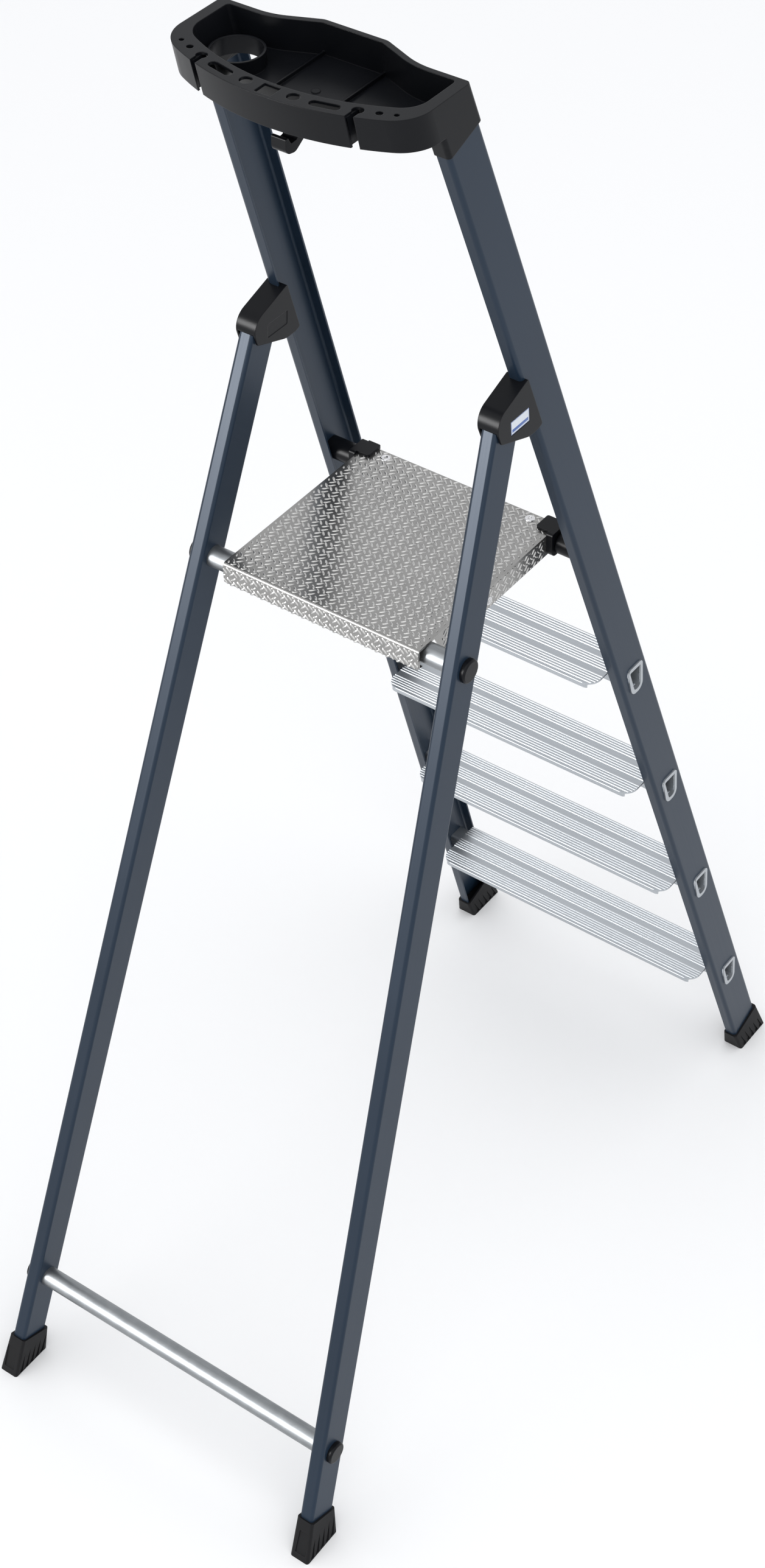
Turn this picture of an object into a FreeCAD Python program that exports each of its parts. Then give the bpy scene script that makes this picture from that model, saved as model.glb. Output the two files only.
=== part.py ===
"""Folding platform step ladder: four ribbed treads, a chequered platform, a tool tray.

Millimetres, +Z up, the floor at Z = 0.  X is the width, and the ladder is climbed
from the -Y side.  The origin is the middle of the footprint.
Three rigid groups: the front frame (rails, treads, tray, hinge brackets), the rear
frame (legs and cross tubes), which swings about the hinge pins, and the platform,
which tips up about two journals between the rails.
"""
import FreeCAD
import Part
import math
import os

V = FreeCAD.Vector
SIDES = {"left": -1, "right": 1}

# ---------------------------------------------------------------- driving dimensions
# Heights
STEP_COUNT = 4
FIRST_STEP = 199.0          # top of the lowest tread
STEP_PITCH = 225.0
PLATFORM_RISE = 229.0       # highest tread to platform
HINGE_RISE = 242.0          # platform to hinge pin
RAIL_TOP_RISE = 363.0       # hinge pin to the rails' top ends
TRAY_RIM_RISE = 30.0        # rails' top ends to the tray's rim

# Front rails: channels, open towards each other
RAIL_X = 238.3              # outer face from the centre plane, at the floor
RAIL_SPLAY = 0.055          # inwards per unit of height
RAIL_LEAN = 0.348           # backwards per unit of height
RAIL_WIDTH = 15.0
RAIL_DEPTH = 56.0
RAIL_WEB = 2.0
RAIL_FLANGE = 2.2
RAIL_CORNER = 5.0

# Rear legs: closed flat tubes
LEG_SPLAY = 0.058
LEG_LEAN = 0.368
LEG_WIDTH = 18.6
LEG_DEPTH = 46.2
LEG_WALL = 1.6
LEG_CORNER = 4.0

# Treads
TREAD_DEPTH = 80.0
TREAD_NOSE = 3.7            # rails' front faces to the tread's front edge
TREAD_PLATE = 3.0
TREAD_LIP = 5.0
TREAD_LIP_WALL = 2.2
TREAD_END_GAP = 3.2         # rails' lips to the plate's ends
TREAD_CORNER = 17.0
RIB_GROUPS = 3
RIBS_PER_GROUP = 5
RIB_PITCH = 4.0
RIB_WIDTH = 1.6
RIB_TAPER = 0.3             # each flank of a rib
RIB_HEIGHT = 0.8
RIB_FRONT = 2.4             # plate's front edge to the first rib
RIB_REAR = 4.0              # last rib to the plate's rear edge
TREAD_FRONT_CORNER = 3.0
STEP_TUBE_WALL = 2.4
STEP_TUBE_DROP = 36.0       # height of the hollow tube under the plate
STEP_TUBE_TOP = 27.0        # its depth under the plate
STEP_TUBE_FOOT = 17.5       # its depth along the bottom
STEP_TUBE_BACK = 18.5       # rails' rear faces to the tube's upper rear corner
STEP_TUBE_FRONT_R = 3.0
STEP_TUBE_LOW_R = 8.0
STEP_TUBE_REAR_R = 4.0
STEP_FLARE = 2.6            # crimped ring around the tube, outside the rail
STEP_FLARE_THICK = 2.0

# Feet
FOOT_FLOOR = 8.0            # rubber under the end of each rail and leg
FOOT_WALL = 2.6
FRONT_FOOT_BACK = 29.0      # height of the sleeve at its rear side
FRONT_FOOT_OUT = 6.2        # how far the sole stands out, each way
FRONT_FOOT_IN = 8.0
FRONT_FOOT_FORE = 5.0
FRONT_FOOT_AFT = 2.9
REAR_FOOT_BACK = 55.0
REAR_FOOT_OUT = 5.6
REAR_FOOT_IN = 2.8
REAR_FOOT_FORE = 10.8
REAR_FOOT_AFT = 2.8
FOOT_CORNER = 3.5
FOOT_RIBS = 5
FOOT_RIB_CUT = 1.5
FOOT_RIB_LOW = 2.0          # floor to the recesses between the ribs
FOOT_RIB_REACH = 0.62       # their top, as a share of the boot's height
FOOT_CORE_DROP = 4.0        # boot's rear edge to the top of the core inside the rail
PANEL_W = 15.0              # recess on the rear boot's rear face
PANEL_LOW = 8.0
PANEL_DROP = 15.4           # boot's rear edge to the recess
PANEL_DEPTH = 1.2

# Hinges
PIN_SETBACK = 33.4          # rails' rear faces to the pin, square to the rail
PIN_R = 4.0
PIN_CLEARANCE = 0.05
PIN_SEAT = 1.2              # how deep each end of a pin sits in its bracket
BRACKET_PROUD = 3.4         # bracket's side plate outside the rail's outer face
BRACKET_WALL = 2.2
LEG_SIDE_GAP = 1.3          # leg to bracket plate, each side
BRACKET_LAP = 6.6           # side plates run this far forward over the rail
BRACKET_UP = 21.6           # pin to the bracket's top face
BRACKET_DOWN = 48.0         # pin to the lowest point of the side plates
BRACKET_CORNER = 2.0
BRACKET_TOE = 8.0           # length of the side plates' lower end
BRACKET_SWEEP_R = 30.0      # hollow curve under the nose
BRACKET_CHIN = 9.5          # pin to where the nose turns under
NOSE_R = 20.0
NOSE_OFFSET = 4.6           # pin to the middle of the rounded nose, square to the rail
NOSE_RISE = 1.6
LEG_END = 13.0              # pin to the leg's rounded top
LEG_NOSE_GAP = 0.45
BRACKET_BACK_WALL = 3.0
BADGE_W = 34.0              # blank label recess, level, on each side plate
BADGE_H = 17.0
BADGE_DEPTH = 0.4
BADGE_FORE = 14.0           # pin to the recess's middle
BADGE_DROP = 8.0
LEG_PLUG_DEPTH = 45.0

# Cross tubes of the rear frame
TUBE_R = 12.5
TUBE_WALL = 1.5
LOWER_TUBE_Z = 136.0
CAP_LIP = 1.5               # cap's rim outside the tube
CAP_HEIGHT = 6.0
CAP_ROUND = 2.5
CAP_PLUG = 12.0
CAP_SADDLE = 1.5            # how far the cap wraps round the leg's corners

# Platform
PLATFORM_WIDTH = 262.0
PLATE_T = 2.5
PLATE_BEND = 3.0            # outer radius of the bends
FLANGE_DEPTH = 27.5
FRONT_FLANGE = 20.0
NOTCH_LAP = 1.5             # side flanges end this far over the upper cross tube
NOTCH_SLANT = 11.25
JOURNAL_HOLE_GAP = 2.0
CURL = 8.0                  # inward lip along the rear flange's lower edge
FLANGE_CORNER = 4.5         # rounding of the rear flange's lower corners
HOOK_GAP = 4.7              # tube to the rear flange
REST_GAP = 0.2              # tube to the plate's underside
JOURNAL_DROP = 15.0         # platform's top to its journals
JOURNAL_INSET = 18.8        # rails' rear faces to the journals
PLATE_NOSE = 11.0           # journals to the platform's front edge
JOURNAL_R = 6.0
BARREL_R = 13.0
BLOCK_T = 8.0
BLOCK_FORE = 12.0
BLOCK_AFT = 17.0
BLOCK_RUN_GAP = 0.6
BLOCK_FOOT_R = 9.0
JOURNAL_START = 1.0         # plate's side face to the journal's inner end
TAB_W = 17.0
TAB_T = 4.0
TAB_LENGTH = 24.0
RIVET_R = 6.0
RIVET_CROWN_R = 3.3
RIVET_SHANK_R = 3.0
RIVET_TAIL_R = 4.8
RIVET_H = 1.6
SIDE_RIVET_R = 5.4
SIDE_RIVET_H = 1.0
TOP_RIVET_X = 98.8
TOP_RIVET_BACK = 12.0       # platform's front edge to the rivets
SIDE_RIVET_Y = 138.0
SIDE_RIVET_DROP = 18.0

# Tray
TRAY_DEPTH = 37.0           # rim to underside
TRAY_FLOOR = 2.5
TRAY_WALL = 2.5
TRAY_LEAN = 0.2
TRAY_DRAFT = 0.05
TRAY_BACK = 70.3            # rails' rear faces to the apron's middle, at the rim
TRAY_BACK_R = 284.0
TRAY_BACK_CORNER = 44.0
TRAY_BAND = 24.5            # width of the tool band behind the bowl
TRAY_BAND_T = 3.0
TRAY_SIDE_RIM = 12.5
TRAY_FRONT_RIM = 6.0
BULGE = 20.0                # the front wall's step forward in the middle
BULGE_HALF = 37.0
BULGE_FOOT = 85.0
BULGE_R = 14.0
BULGE_EASE_R = 80.0
TRAY_FRONT_R = 5.0
TRAY_SIDE_WALL = 2.5        # tray's ends outside the rails
BOWL_SIDE_SLOPE = 10.0      # the bowl's walls lean in by this much down to its floor
BOWL_FRONT_SLOPE = 5.0
BOWL_BACK_SLOPE = 6.0
BOWL_CORNER_R = 30.0
SLEEVE_WALL = 1.8
SLEEVE_DROP = 32.0          # rails' top ends to the sleeve's lower rear corner
BAY_HALF = 35.8             # ribs on the bowl's floor
BAY_RIB_T = 2.0
BAY_RIB_H = 4.0
CUP_X = 92.5
CUP_BACK = 13.0             # rails' rear faces to the cup ring's middle, at the rim
CUP_R = 28.0
CUP_WALL = 2.5
CUP_H = 16.0
TRAY_PLUG_DEPTH = 26.0
PIP_R = 4.5                 # boss in the middle of the bowl's floor
PIP_H = 1.0
SQUARE_HOLE = (19.0, 17.0)
ROUND_HOLE_R = 6.6
PLIER_SLOT = (21.0, 5.2)    # between the end centres, end radius
KEY_R = 6.0
KEY_MOUTH = 8.0
DRILL_R = 3.6
AWL_R = 2.7

# Bucket hook under the tray
HOOK_W = 17.0
HOOK_SETBACK = 43.0         # tray's rear edge to the hook's stem
HOOK_ROOT = 30.0            # length of its root in front of the stem
HOOK_SEAT = 25.0            # tray's underside to the seat
HOOK_DROP = 37.0            # tray's underside to the lowest point
HOOK_REACH = 18.5           # stem to the rear of the tip
HOOK_TIP_T = 4.0
HOOK_TIP_DROP = 18.0        # tray's underside to the top of the tip

# ---------------------------------------------------------------- derived layout
PLATFORM_Z = FIRST_STEP + (STEP_COUNT - 1) * STEP_PITCH + PLATFORM_RISE
PIN_Z = PLATFORM_Z + HINGE_RISE
RAIL_TOP = PIN_Z + RAIL_TOP_RISE
RIM_Z = RAIL_TOP + TRAY_RIM_RISE
RAIL_ANGLE = math.atan(RAIL_LEAN)
LEG_ANGLE = math.atan(LEG_LEAN)
UP_RAIL = (math.sin(RAIL_ANGLE), math.cos(RAIL_ANGLE))      # in Y and Z
OFF_RAIL = (math.cos(RAIL_ANGLE), -math.sin(RAIL_ANGLE))
UP_LEG = (-math.sin(LEG_ANGLE), math.cos(LEG_ANGLE))
OFF_LEG = (math.cos(LEG_ANGLE), math.sin(LEG_ANGLE))

_PIN_BEHIND = RAIL_LEAN * PIN_Z + PIN_SETBACK / math.cos(RAIL_ANGLE)
_SOLE_BACK = _PIN_BEHIND + LEG_DEPTH / 2 + LEG_LEAN * PIN_Z + REAR_FOOT_AFT
_SOLE_FRONT = -RAIL_DEPTH - FRONT_FOOT_FORE
RAIL_Y = -(_SOLE_BACK + _SOLE_FRONT) / 2                    # rails' rear faces at the floor
PIN_Y = RAIL_Y + _PIN_BEHIND
LEG_X = RAIL_X - RAIL_SPLAY * PIN_Z + BRACKET_PROUD - BRACKET_WALL - LEG_SIDE_GAP
LEG_X = LEG_X + LEG_SPLAY * PIN_Z                           # legs' outer faces at the floor
BRACKET_WIDTH = LEG_WIDTH + 2 * (LEG_SIDE_GAP + BRACKET_WALL)

RIB_GROUP_W = (RIBS_PER_GROUP - 1) * RIB_PITCH + RIB_WIDTH
RIB_GROUP_PITCH = (TREAD_DEPTH - RIB_FRONT - RIB_REAR - RIB_GROUP_W) / (RIB_GROUPS - 1)

CAP_R = TUBE_R + CAP_LIP
UPPER_TUBE_Z = PLATFORM_Z - PLATE_T - TUBE_R - REST_GAP
JOURNAL_Z = PLATFORM_Z - JOURNAL_DROP


def rail_x(z):
    """Outer face of the right rail at height z."""
    return RAIL_X - RAIL_SPLAY * z


def rail_y(z):
    """Rear face of the rails at height z."""
    return RAIL_Y + RAIL_LEAN * z


def leg_x(z):
    """Outer face of the right leg at height z, ladder open."""
    return LEG_X - LEG_SPLAY * z


def leg_y(z):
    """Middle of the legs' depth at height z, ladder open."""
    return PIN_Y + LEG_LEAN * (PIN_Z - z)


JOURNAL_Y = rail_y(JOURNAL_Z) - JOURNAL_INSET
PLATE_FRONT_Y = JOURNAL_Y - PLATE_NOSE
UPPER_TUBE_Y = leg_y(UPPER_TUBE_Z)
PLATE_BACK_Y = UPPER_TUBE_Y + TUBE_R + HOOK_GAP + PLATE_T


# ---------------------------------------------------------------- shape helpers
def on_plan(z):
    """Place (x, y) points on the level plane z."""
    return lambda a, b: V(a, b, z)


def facing_back(y):
    """Place (x, z) points on the upright plane y."""
    return lambda a, b: V(a, y, b)


def on_side(x):
    """Place (y, z) points on the plane x."""
    return lambda a, b: V(x, a, b)


def along_rail(x_at_height):
    """Place (off, up) points, measured from the pin square to and along the rail."""
    def place(off, up):
        y = PIN_Y + off * OFF_RAIL[0] + up * UP_RAIL[0]
        z = PIN_Z + off * OFF_RAIL[1] + up * UP_RAIL[1]
        return V(x_at_height(z), y, z)
    return place


def along_leg(x_at_height):
    """Place (off, up) points, measured from the pin square to and along the open leg."""
    def place(off, up):
        y = PIN_Y + off * OFF_LEG[0] + up * UP_LEG[0]
        z = PIN_Z + off * OFF_LEG[1] + up * UP_LEG[1]
        return V(x_at_height(z), y, z)
    return place


def outline(points, place):
    """Closed wire through (a, b) or (a, b, radius) points, rounded at each radius."""
    flat = [tuple(p) + (0.0,) * (3 - len(p)) for p in points]
    edges = []
    stops = []
    count = len(flat)
    for i in range(count):
        before = flat[i - 1]
        here = flat[i]
        after = flat[(i + 1) % count]
        stops.append(_corner(before, here, after))
    for i in range(count):
        enter, middle, leave = stops[i]
        following = stops[(i + 1) % count][0]
        if middle is not None:
            edges.append(Part.Arc(place(*enter), place(*middle), place(*leave)).toShape())
        if math.dist(leave, following) > 1e-5:
            edges.append(Part.makeLine(place(*leave), place(*following)))
    return Part.Wire(edges)


def _corner(before, here, after):
    """Where a rounded corner starts, its middle point and where it ends."""
    point = (here[0], here[1])
    radius = here[2]
    if radius <= 0:
        return point, None, point
    back = _unit(before[0] - here[0], before[1] - here[1])
    ahead = _unit(after[0] - here[0], after[1] - here[1])
    cosine = max(-1.0, min(1.0, back[0] * ahead[0] + back[1] * ahead[1]))
    half = math.acos(cosine) / 2
    cut = radius / math.tan(half)
    enter = (here[0] + back[0] * cut, here[1] + back[1] * cut)
    leave = (here[0] + ahead[0] * cut, here[1] + ahead[1] * cut)
    bisector = _unit(back[0] + ahead[0], back[1] + ahead[1])
    reach = radius / math.sin(half) - radius
    middle = (here[0] + bisector[0] * reach, here[1] + bisector[1] * reach)
    return enter, middle, leave


def _unit(a, b):
    length = math.hypot(a, b)
    return a / length, b / length


def prism(points, place, travel):
    """Solid swept from an outline by the vector travel."""
    return Part.Face(outline(points, place)).extrude(travel)


def loft(lower, upper):
    """Ruled solid between two wires."""
    return Part.makeLoft([lower, upper], True, True)


def rectangle(a0, a1, b0, b1, radius=0.0):
    """Four rounded corners, anticlockwise from the low corner."""
    return [(a0, b0, radius), (a1, b0, radius), (a1, b1, radius), (a0, b1, radius)]


def block(x0, x1, y0, y1, z0, z1):
    """Plain box between two corners."""
    return Part.makeBox(x1 - x0, y1 - y0, z1 - z0, V(x0, y0, z0))


def rod(x0, x1, y, z, radius):
    """Cylinder along X."""
    return Part.makeCylinder(radius, x1 - x0, V(x0, y, z), V(1, 0, 0))


def tube(x0, x1, y, z, radius, wall):
    """Round tube along X."""
    return rod(x0, x1, y, z, radius).cut(rod(x0 - 1, x1 + 1, y, z, radius - wall))


def mirrored(shape, side):
    """The shape itself on the right, its mirror image on the left."""
    if side > 0:
        return shape
    return shape.mirror(V(0, 0, 0), V(1, 0, 0))


def save(name, shape):
    """Write one node as one STEP file."""
    solid = shape.removeSplitter()
    if len(solid.Solids) == 1:
        solid = solid.Solids[0]
    solid.exportStep(f"parts/{name}.step")
    low = solid.BoundBox
    print(f"{name:24s} solids {len(shape.Solids)} valid {solid.isValid()}"
          f" volume {solid.Volume / 1000:9.2f} cm3 z {low.ZMin:7.1f} {low.ZMax:7.1f}")


# ---------------------------------------------------------------- front rails
def rail_column(section, low, high):
    """Sweep a level section (x, y from the rail's outer rear corner) along the right rail."""
    def place(x, y):
        return V(rail_x(low) + x, rail_y(low) + y, low)
    rise = high - low
    return prism(section, place, V(-RAIL_SPLAY * rise, RAIL_LEAN * rise, rise))


def rail_envelope(low, high):
    """The channel with its open side filled."""
    section = [(-RAIL_WIDTH, -RAIL_DEPTH), (0, -RAIL_DEPTH, RAIL_CORNER),
               (0, 0, RAIL_CORNER), (-RAIL_WIDTH, 0)]
    return rail_column(section, low, high)


def rail_hollow(low, high):
    """The inside of the channel, from the web to the lips."""
    inner = RAIL_CORNER - RAIL_WEB
    front = RAIL_FLANGE - RAIL_DEPTH
    section = [(-RAIL_WIDTH - 1, front), (-RAIL_WEB, front, inner),
               (-RAIL_WEB, -RAIL_FLANGE, inner), (-RAIL_WIDTH - 1, -RAIL_FLANGE)]
    return rail_column(section, low, high)


def rail_outside(low, high):
    """Everything outboard of the web's inner face, near the right rail."""
    reach = RAIL_DEPTH * 2
    section = rectangle(-RAIL_WEB, reach, -reach, reach)
    return rail_column(section, low, high)


def make_rail(step_tubes):
    """Right rail, pierced for the step tubes."""
    rail = rail_envelope(FOOT_FLOOR, RAIL_TOP).cut(rail_hollow(FOOT_FLOOR - 1, RAIL_TOP + 1))
    for step_tube in step_tubes:
        rail = rail.cut(step_tube)
    return rail


# ---------------------------------------------------------------- treads
def step_heights():
    """Tops of the treads, lowest first."""
    return [FIRST_STEP + i * STEP_PITCH for i in range(STEP_COUNT)]


def tube_section(top, grow=0.0):
    """Outline (y, z) of the tube under one tread: upright in front, slanted behind."""
    back = rail_y(top) - STEP_TUBE_BACK
    front = back - STEP_TUBE_TOP
    upper = top - TREAD_PLATE
    lower = upper - STEP_TUBE_DROP
    foot = front + STEP_TUBE_FOOT
    return [(front - grow, upper + grow, STEP_TUBE_FRONT_R + grow),
            (front - grow, lower - grow, STEP_TUBE_LOW_R + grow),
            (foot + grow, lower - grow, STEP_TUBE_LOW_R + grow),
            (back + grow, upper + grow, STEP_TUBE_REAR_R + grow)]


def tube_span(top):
    """Distance from the centre plane to the outer face of the rail at a step tube."""
    return rail_x(top - TREAD_PLATE - STEP_TUBE_DROP / 2)


def step_tube_solid(top, reach):
    """Filled step tube, as far as reach on both sides."""
    return prism(tube_section(top), on_side(-reach), V(2 * reach, 0, 0))


def tread_profile(top):
    """Ribbed plate with two down-turned lips, as (y, z) points."""
    front = rail_y(top) - RAIL_DEPTH + TREAD_NOSE
    back = front + TREAD_DEPTH
    base = top - RIB_HEIGHT
    under = top - TREAD_PLATE
    foot = under - TREAD_LIP
    points = [(front, foot, 0.9), (front, base, 1.2)]
    for group in range(RIB_GROUPS):
        for rib in range(RIBS_PER_GROUP):
            near = front + RIB_FRONT + group * RIB_GROUP_PITCH + rib * RIB_PITCH
            points += [(near, base), (near + RIB_TAPER, top), (near + RIB_WIDTH - RIB_TAPER, top),
                       (near + RIB_WIDTH, base)]
    points += [(back, base, 1.2), (back, foot, 0.9), (back - TREAD_LIP_WALL, foot, 0.9),
               (back - TREAD_LIP_WALL, under, 1.0), (front + TREAD_LIP_WALL, under, 1.0),
               (front + TREAD_LIP_WALL, foot, 0.9)]
    return points


def tread_end(top):
    """Half-length of the tread's plate."""
    return rail_x(top) - RAIL_WIDTH - TREAD_END_GAP


def tread_plan(top):
    """Plan outline of the plate: large rounded corners behind, small ones in front."""
    end = tread_end(top)
    front = rail_y(top) - RAIL_DEPTH + TREAD_NOSE
    back = front + TREAD_DEPTH
    return [(-end, front, TREAD_FRONT_CORNER), (end, front, TREAD_FRONT_CORNER),
            (end, back, TREAD_CORNER), (-end, back, TREAD_CORNER)]


def flare_ring(top):
    """Crimped ring around the right end of a step tube, flat on the rail's outer face."""
    low = top - TREAD_PLATE - STEP_TUBE_DROP - 3 * STEP_FLARE
    high = top + 3 * STEP_FLARE
    shell = rail_column(rectangle(0, STEP_FLARE_THICK, -RAIL_DEPTH, 0), low, high)
    reach = tube_span(top) + RAIL_WIDTH
    wide = prism(tube_section(top, STEP_FLARE), on_side(0), V(reach, 0, 0))
    return shell.common(wide)


def make_tread(top):
    """Plate, step tube and the two crimped rings, in one extrusion."""
    end = tread_end(top)
    plate = prism(tread_profile(top), on_side(-end), V(2 * end, 0, 0))
    plan = prism(tread_plan(top), on_plan(top - TREAD_PLATE - TREAD_LIP - 1), V(0, 0, TREAD_LIP + 10))
    plate = plate.common(plan)
    reach = tube_span(top) + RAIL_WIDTH
    body = step_tube_solid(top, reach)
    over = rail_column(rectangle(STEP_FLARE_THICK, RAIL_DEPTH, -2 * RAIL_DEPTH, RAIL_DEPTH),
                       top - 2 * STEP_TUBE_DROP, top + STEP_TUBE_DROP)
    for side in SIDES.values():
        body = body.cut(mirrored(over, side))
        body = body.fuse(mirrored(flare_ring(top), side))
    hollow = prism(tube_section(top, -STEP_TUBE_WALL), on_side(-reach - 5), V(2 * reach + 10, 0, 0))
    return plate.fuse(body).cut(hollow)


# ---------------------------------------------------------------- feet
def foot_shell(sole, collar, low, high_back, high_front, corner):
    """Flared boot between a level sole and a slanted collar."""
    bottom = outline(rectangle(*sole, corner), on_plan(low))
    x0, x1, y0, y1 = collar

    def slanted(a, b):
        share = (b - y0) / (y1 - y0)
        return V(a, b, high_front + share * (high_back - high_front))
    top = outline(rectangle(x0, x1, y0, y1, corner), slanted)
    return loft(bottom, top)


def wedge_cuts(sole, collar, top_z, lean):
    """Pointed recesses along the boot's two long sides."""
    x0, x1, y0, y1 = sole
    top_x0, top_x1 = collar[0], collar[1]
    room = (y1 - y0) / (FOOT_RIBS + 1)
    cuts = []
    for i in range(FOOT_RIBS):
        middle = y0 + room * (i + 1)
        high = top_z * FOOT_RIB_REACH
        points = [(middle - 0.3 * room, FOOT_RIB_LOW), (middle + 0.3 * room, FOOT_RIB_LOW),
                  (middle + lean * high, high)]

        def outer_face(b, z, edge=x1, upper=top_x1):
            return V(edge + (upper - edge) * z / top_z - FOOT_RIB_CUT, b, z)

        def inner_face(b, z, edge=x0, upper=top_x0):
            return V(edge + (upper - edge) * z / top_z + FOOT_RIB_CUT, b, z)
        cuts.append(prism(points, outer_face, V(4 * FOOT_RIB_CUT, 0, 0)))
        cuts.append(prism(points, inner_face, V(-4 * FOOT_RIB_CUT, 0, 0)))
    return cuts


def make_front_foot():
    """Boot of the right rail."""
    high_front = FRONT_FOOT_BACK + RAIL_LEAN * RAIL_DEPTH
    middle = (FRONT_FOOT_BACK + high_front) / 2
    sole = (RAIL_X - RAIL_WIDTH - FRONT_FOOT_IN, RAIL_X + FRONT_FOOT_OUT,
            RAIL_Y - RAIL_DEPTH - FRONT_FOOT_FORE, RAIL_Y + FRONT_FOOT_AFT)
    collar = (rail_x(middle) - RAIL_WIDTH - FOOT_WALL, rail_x(middle) + FOOT_WALL,
              rail_y(high_front) - RAIL_DEPTH - FOOT_WALL, rail_y(FRONT_FOOT_BACK) + FOOT_WALL)
    foot = foot_shell(sole, collar, 0.0, FRONT_FOOT_BACK, high_front, FOOT_CORNER)
    foot = foot.cut(rail_envelope(FOOT_FLOOR, high_front + RAIL_DEPTH))
    core = rail_envelope(FOOT_FLOOR, FRONT_FOOT_BACK - FOOT_CORE_DROP)
    core = core.common(rail_hollow(FOOT_FLOOR, FRONT_FOOT_BACK))
    foot = foot.fuse(core)
    for cut in wedge_cuts(sole, collar, middle, RAIL_LEAN):
        foot = foot.cut(cut)
    return foot


def make_rear_foot():
    """Boot of the right leg, with a framed recess on its rear face."""
    high_back = REAR_FOOT_BACK
    high_front = REAR_FOOT_BACK - LEG_LEAN * LEG_DEPTH
    middle = (high_back + high_front) / 2
    sole = (LEG_X - LEG_WIDTH - REAR_FOOT_IN, LEG_X + REAR_FOOT_OUT,
            leg_y(0) - LEG_DEPTH / 2 - REAR_FOOT_FORE, leg_y(0) + LEG_DEPTH / 2 + REAR_FOOT_AFT)
    collar = (leg_x(middle) - LEG_WIDTH - FOOT_WALL, leg_x(middle) + FOOT_WALL,
              leg_y(high_front) - LEG_DEPTH / 2 - FOOT_WALL, leg_y(high_back) + LEG_DEPTH / 2 + FOOT_WALL)
    foot = foot_shell(sole, collar, 0.0, high_back, high_front, FOOT_CORNER)
    foot = foot.cut(leg_column(FOOT_FLOOR, high_back + LEG_DEPTH, 0.0))
    for cut in wedge_cuts(sole, collar, middle, -LEG_LEAN):
        foot = foot.cut(cut)
    centre = LEG_X - LEG_WIDTH / 2 + (REAR_FOOT_OUT - REAR_FOOT_IN) / 2
    slope = (collar[3] - sole[3]) / high_back

    def rear_face(a, z):
        return V(a, sole[3] + slope * z - PANEL_DEPTH, z)
    panel = prism(rectangle(centre - PANEL_W / 2, centre + PANEL_W / 2, PANEL_LOW,
                            high_back - PANEL_DROP, PANEL_DEPTH), rear_face, V(0, 5 * PANEL_DEPTH, 0))
    return foot.cut(panel)


# ---------------------------------------------------------------- rear frame
def leg_column(low, high, inset):
    """Right leg's outline, inset by a wall, swept between two heights."""
    half = LEG_DEPTH / 2 - inset
    section = rectangle(-LEG_WIDTH + inset, -inset, -half, half, LEG_CORNER - inset)

    def place(x, y):
        return V(leg_x(low) + x, leg_y(low) + y, low)
    rise = high - low
    return prism(section, place, V(-LEG_SPLAY * rise, -LEG_LEAN * rise, rise))


def leg_side(low_up):
    """Side view of the leg's top end as a solid: straight sides and a rounded end."""
    half = LEG_DEPTH * math.cos(LEG_ANGLE) / 2
    points = [(-half, low_up), (half, low_up), (half, LEG_END, LEG_END), (-half, LEG_END, LEG_END)]
    return prism(points, along_leg(lambda z: 0.0), V(LEG_X * 2, 0, 0))


def pin_bore(radius):
    """Cylinder through the right hinge, on the pin's axis."""
    return rod(0, LEG_X * 2, PIN_Y, PIN_Z, radius)


def make_leg():
    """Right leg: a closed tube, rounded at the hinge, pierced for the pin and cross tubes."""
    high = PIN_Z + LEG_DEPTH
    leg = leg_column(FOOT_FLOOR, high, 0.0).cut(leg_column(FOOT_FLOOR - 1, high + 1, LEG_WALL))
    leg = leg.common(leg_side(-2 * PIN_Z))
    leg = leg.cut(pin_bore(PIN_R + PIN_CLEARANCE))
    for z in (UPPER_TUBE_Z, LOWER_TUBE_Z):
        leg = leg.cut(rod(0, LEG_X * 2, leg_y(z), z, TUBE_R))
    return leg


def make_leg_plug():
    """Filling of the leg's top end, which runs on the pin."""
    high = PIN_Z + LEG_DEPTH
    plug = leg_column(PIN_Z - LEG_DEPTH * 2, high, LEG_WALL)
    plug = plug.common(leg_side(-LEG_PLUG_DEPTH))
    return plug.cut(pin_bore(PIN_R + PIN_CLEARANCE))


def make_cross_tube(z):
    """Tube through both legs, to their outer faces."""
    reach = leg_x(z)
    return tube(-reach, reach, leg_y(z), z, TUBE_R, TUBE_WALL)


def make_tube_cap(z):
    """Domed cap on the right leg, plugged into the cross tube."""
    face = leg_x(z)
    y = leg_y(z)
    dome = rod(face - CAP_HEIGHT, face + CAP_HEIGHT, y, z, CAP_R)
    rim = [edge for edge in dome.Edges if edge.BoundBox.XMin > face + CAP_HEIGHT - 0.1]
    dome = dome.makeFillet(CAP_ROUND, rim)
    dome = dome.cut(leg_column(z - 4 * CAP_R, z + 4 * CAP_R, 0.0))
    dome = dome.common(block(face - CAP_SADDLE, face + 2 * CAP_HEIGHT, y - 2 * CAP_R, y + 2 * CAP_R,
                             z - 2 * CAP_R, z + 2 * CAP_R))
    dome = dome.cut(rod(0, face, y, z, TUBE_R))
    stem = rod(face - CAP_PLUG, face, y, z, TUBE_R - TUBE_WALL)
    return dome.fuse(stem)


# ---------------------------------------------------------------- hinges
def bracket_x(offset):
    """Planes parallel to the rail's web, offset inwards from the bracket's outer face."""
    return lambda z: rail_x(z) + BRACKET_PROUD - offset


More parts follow.
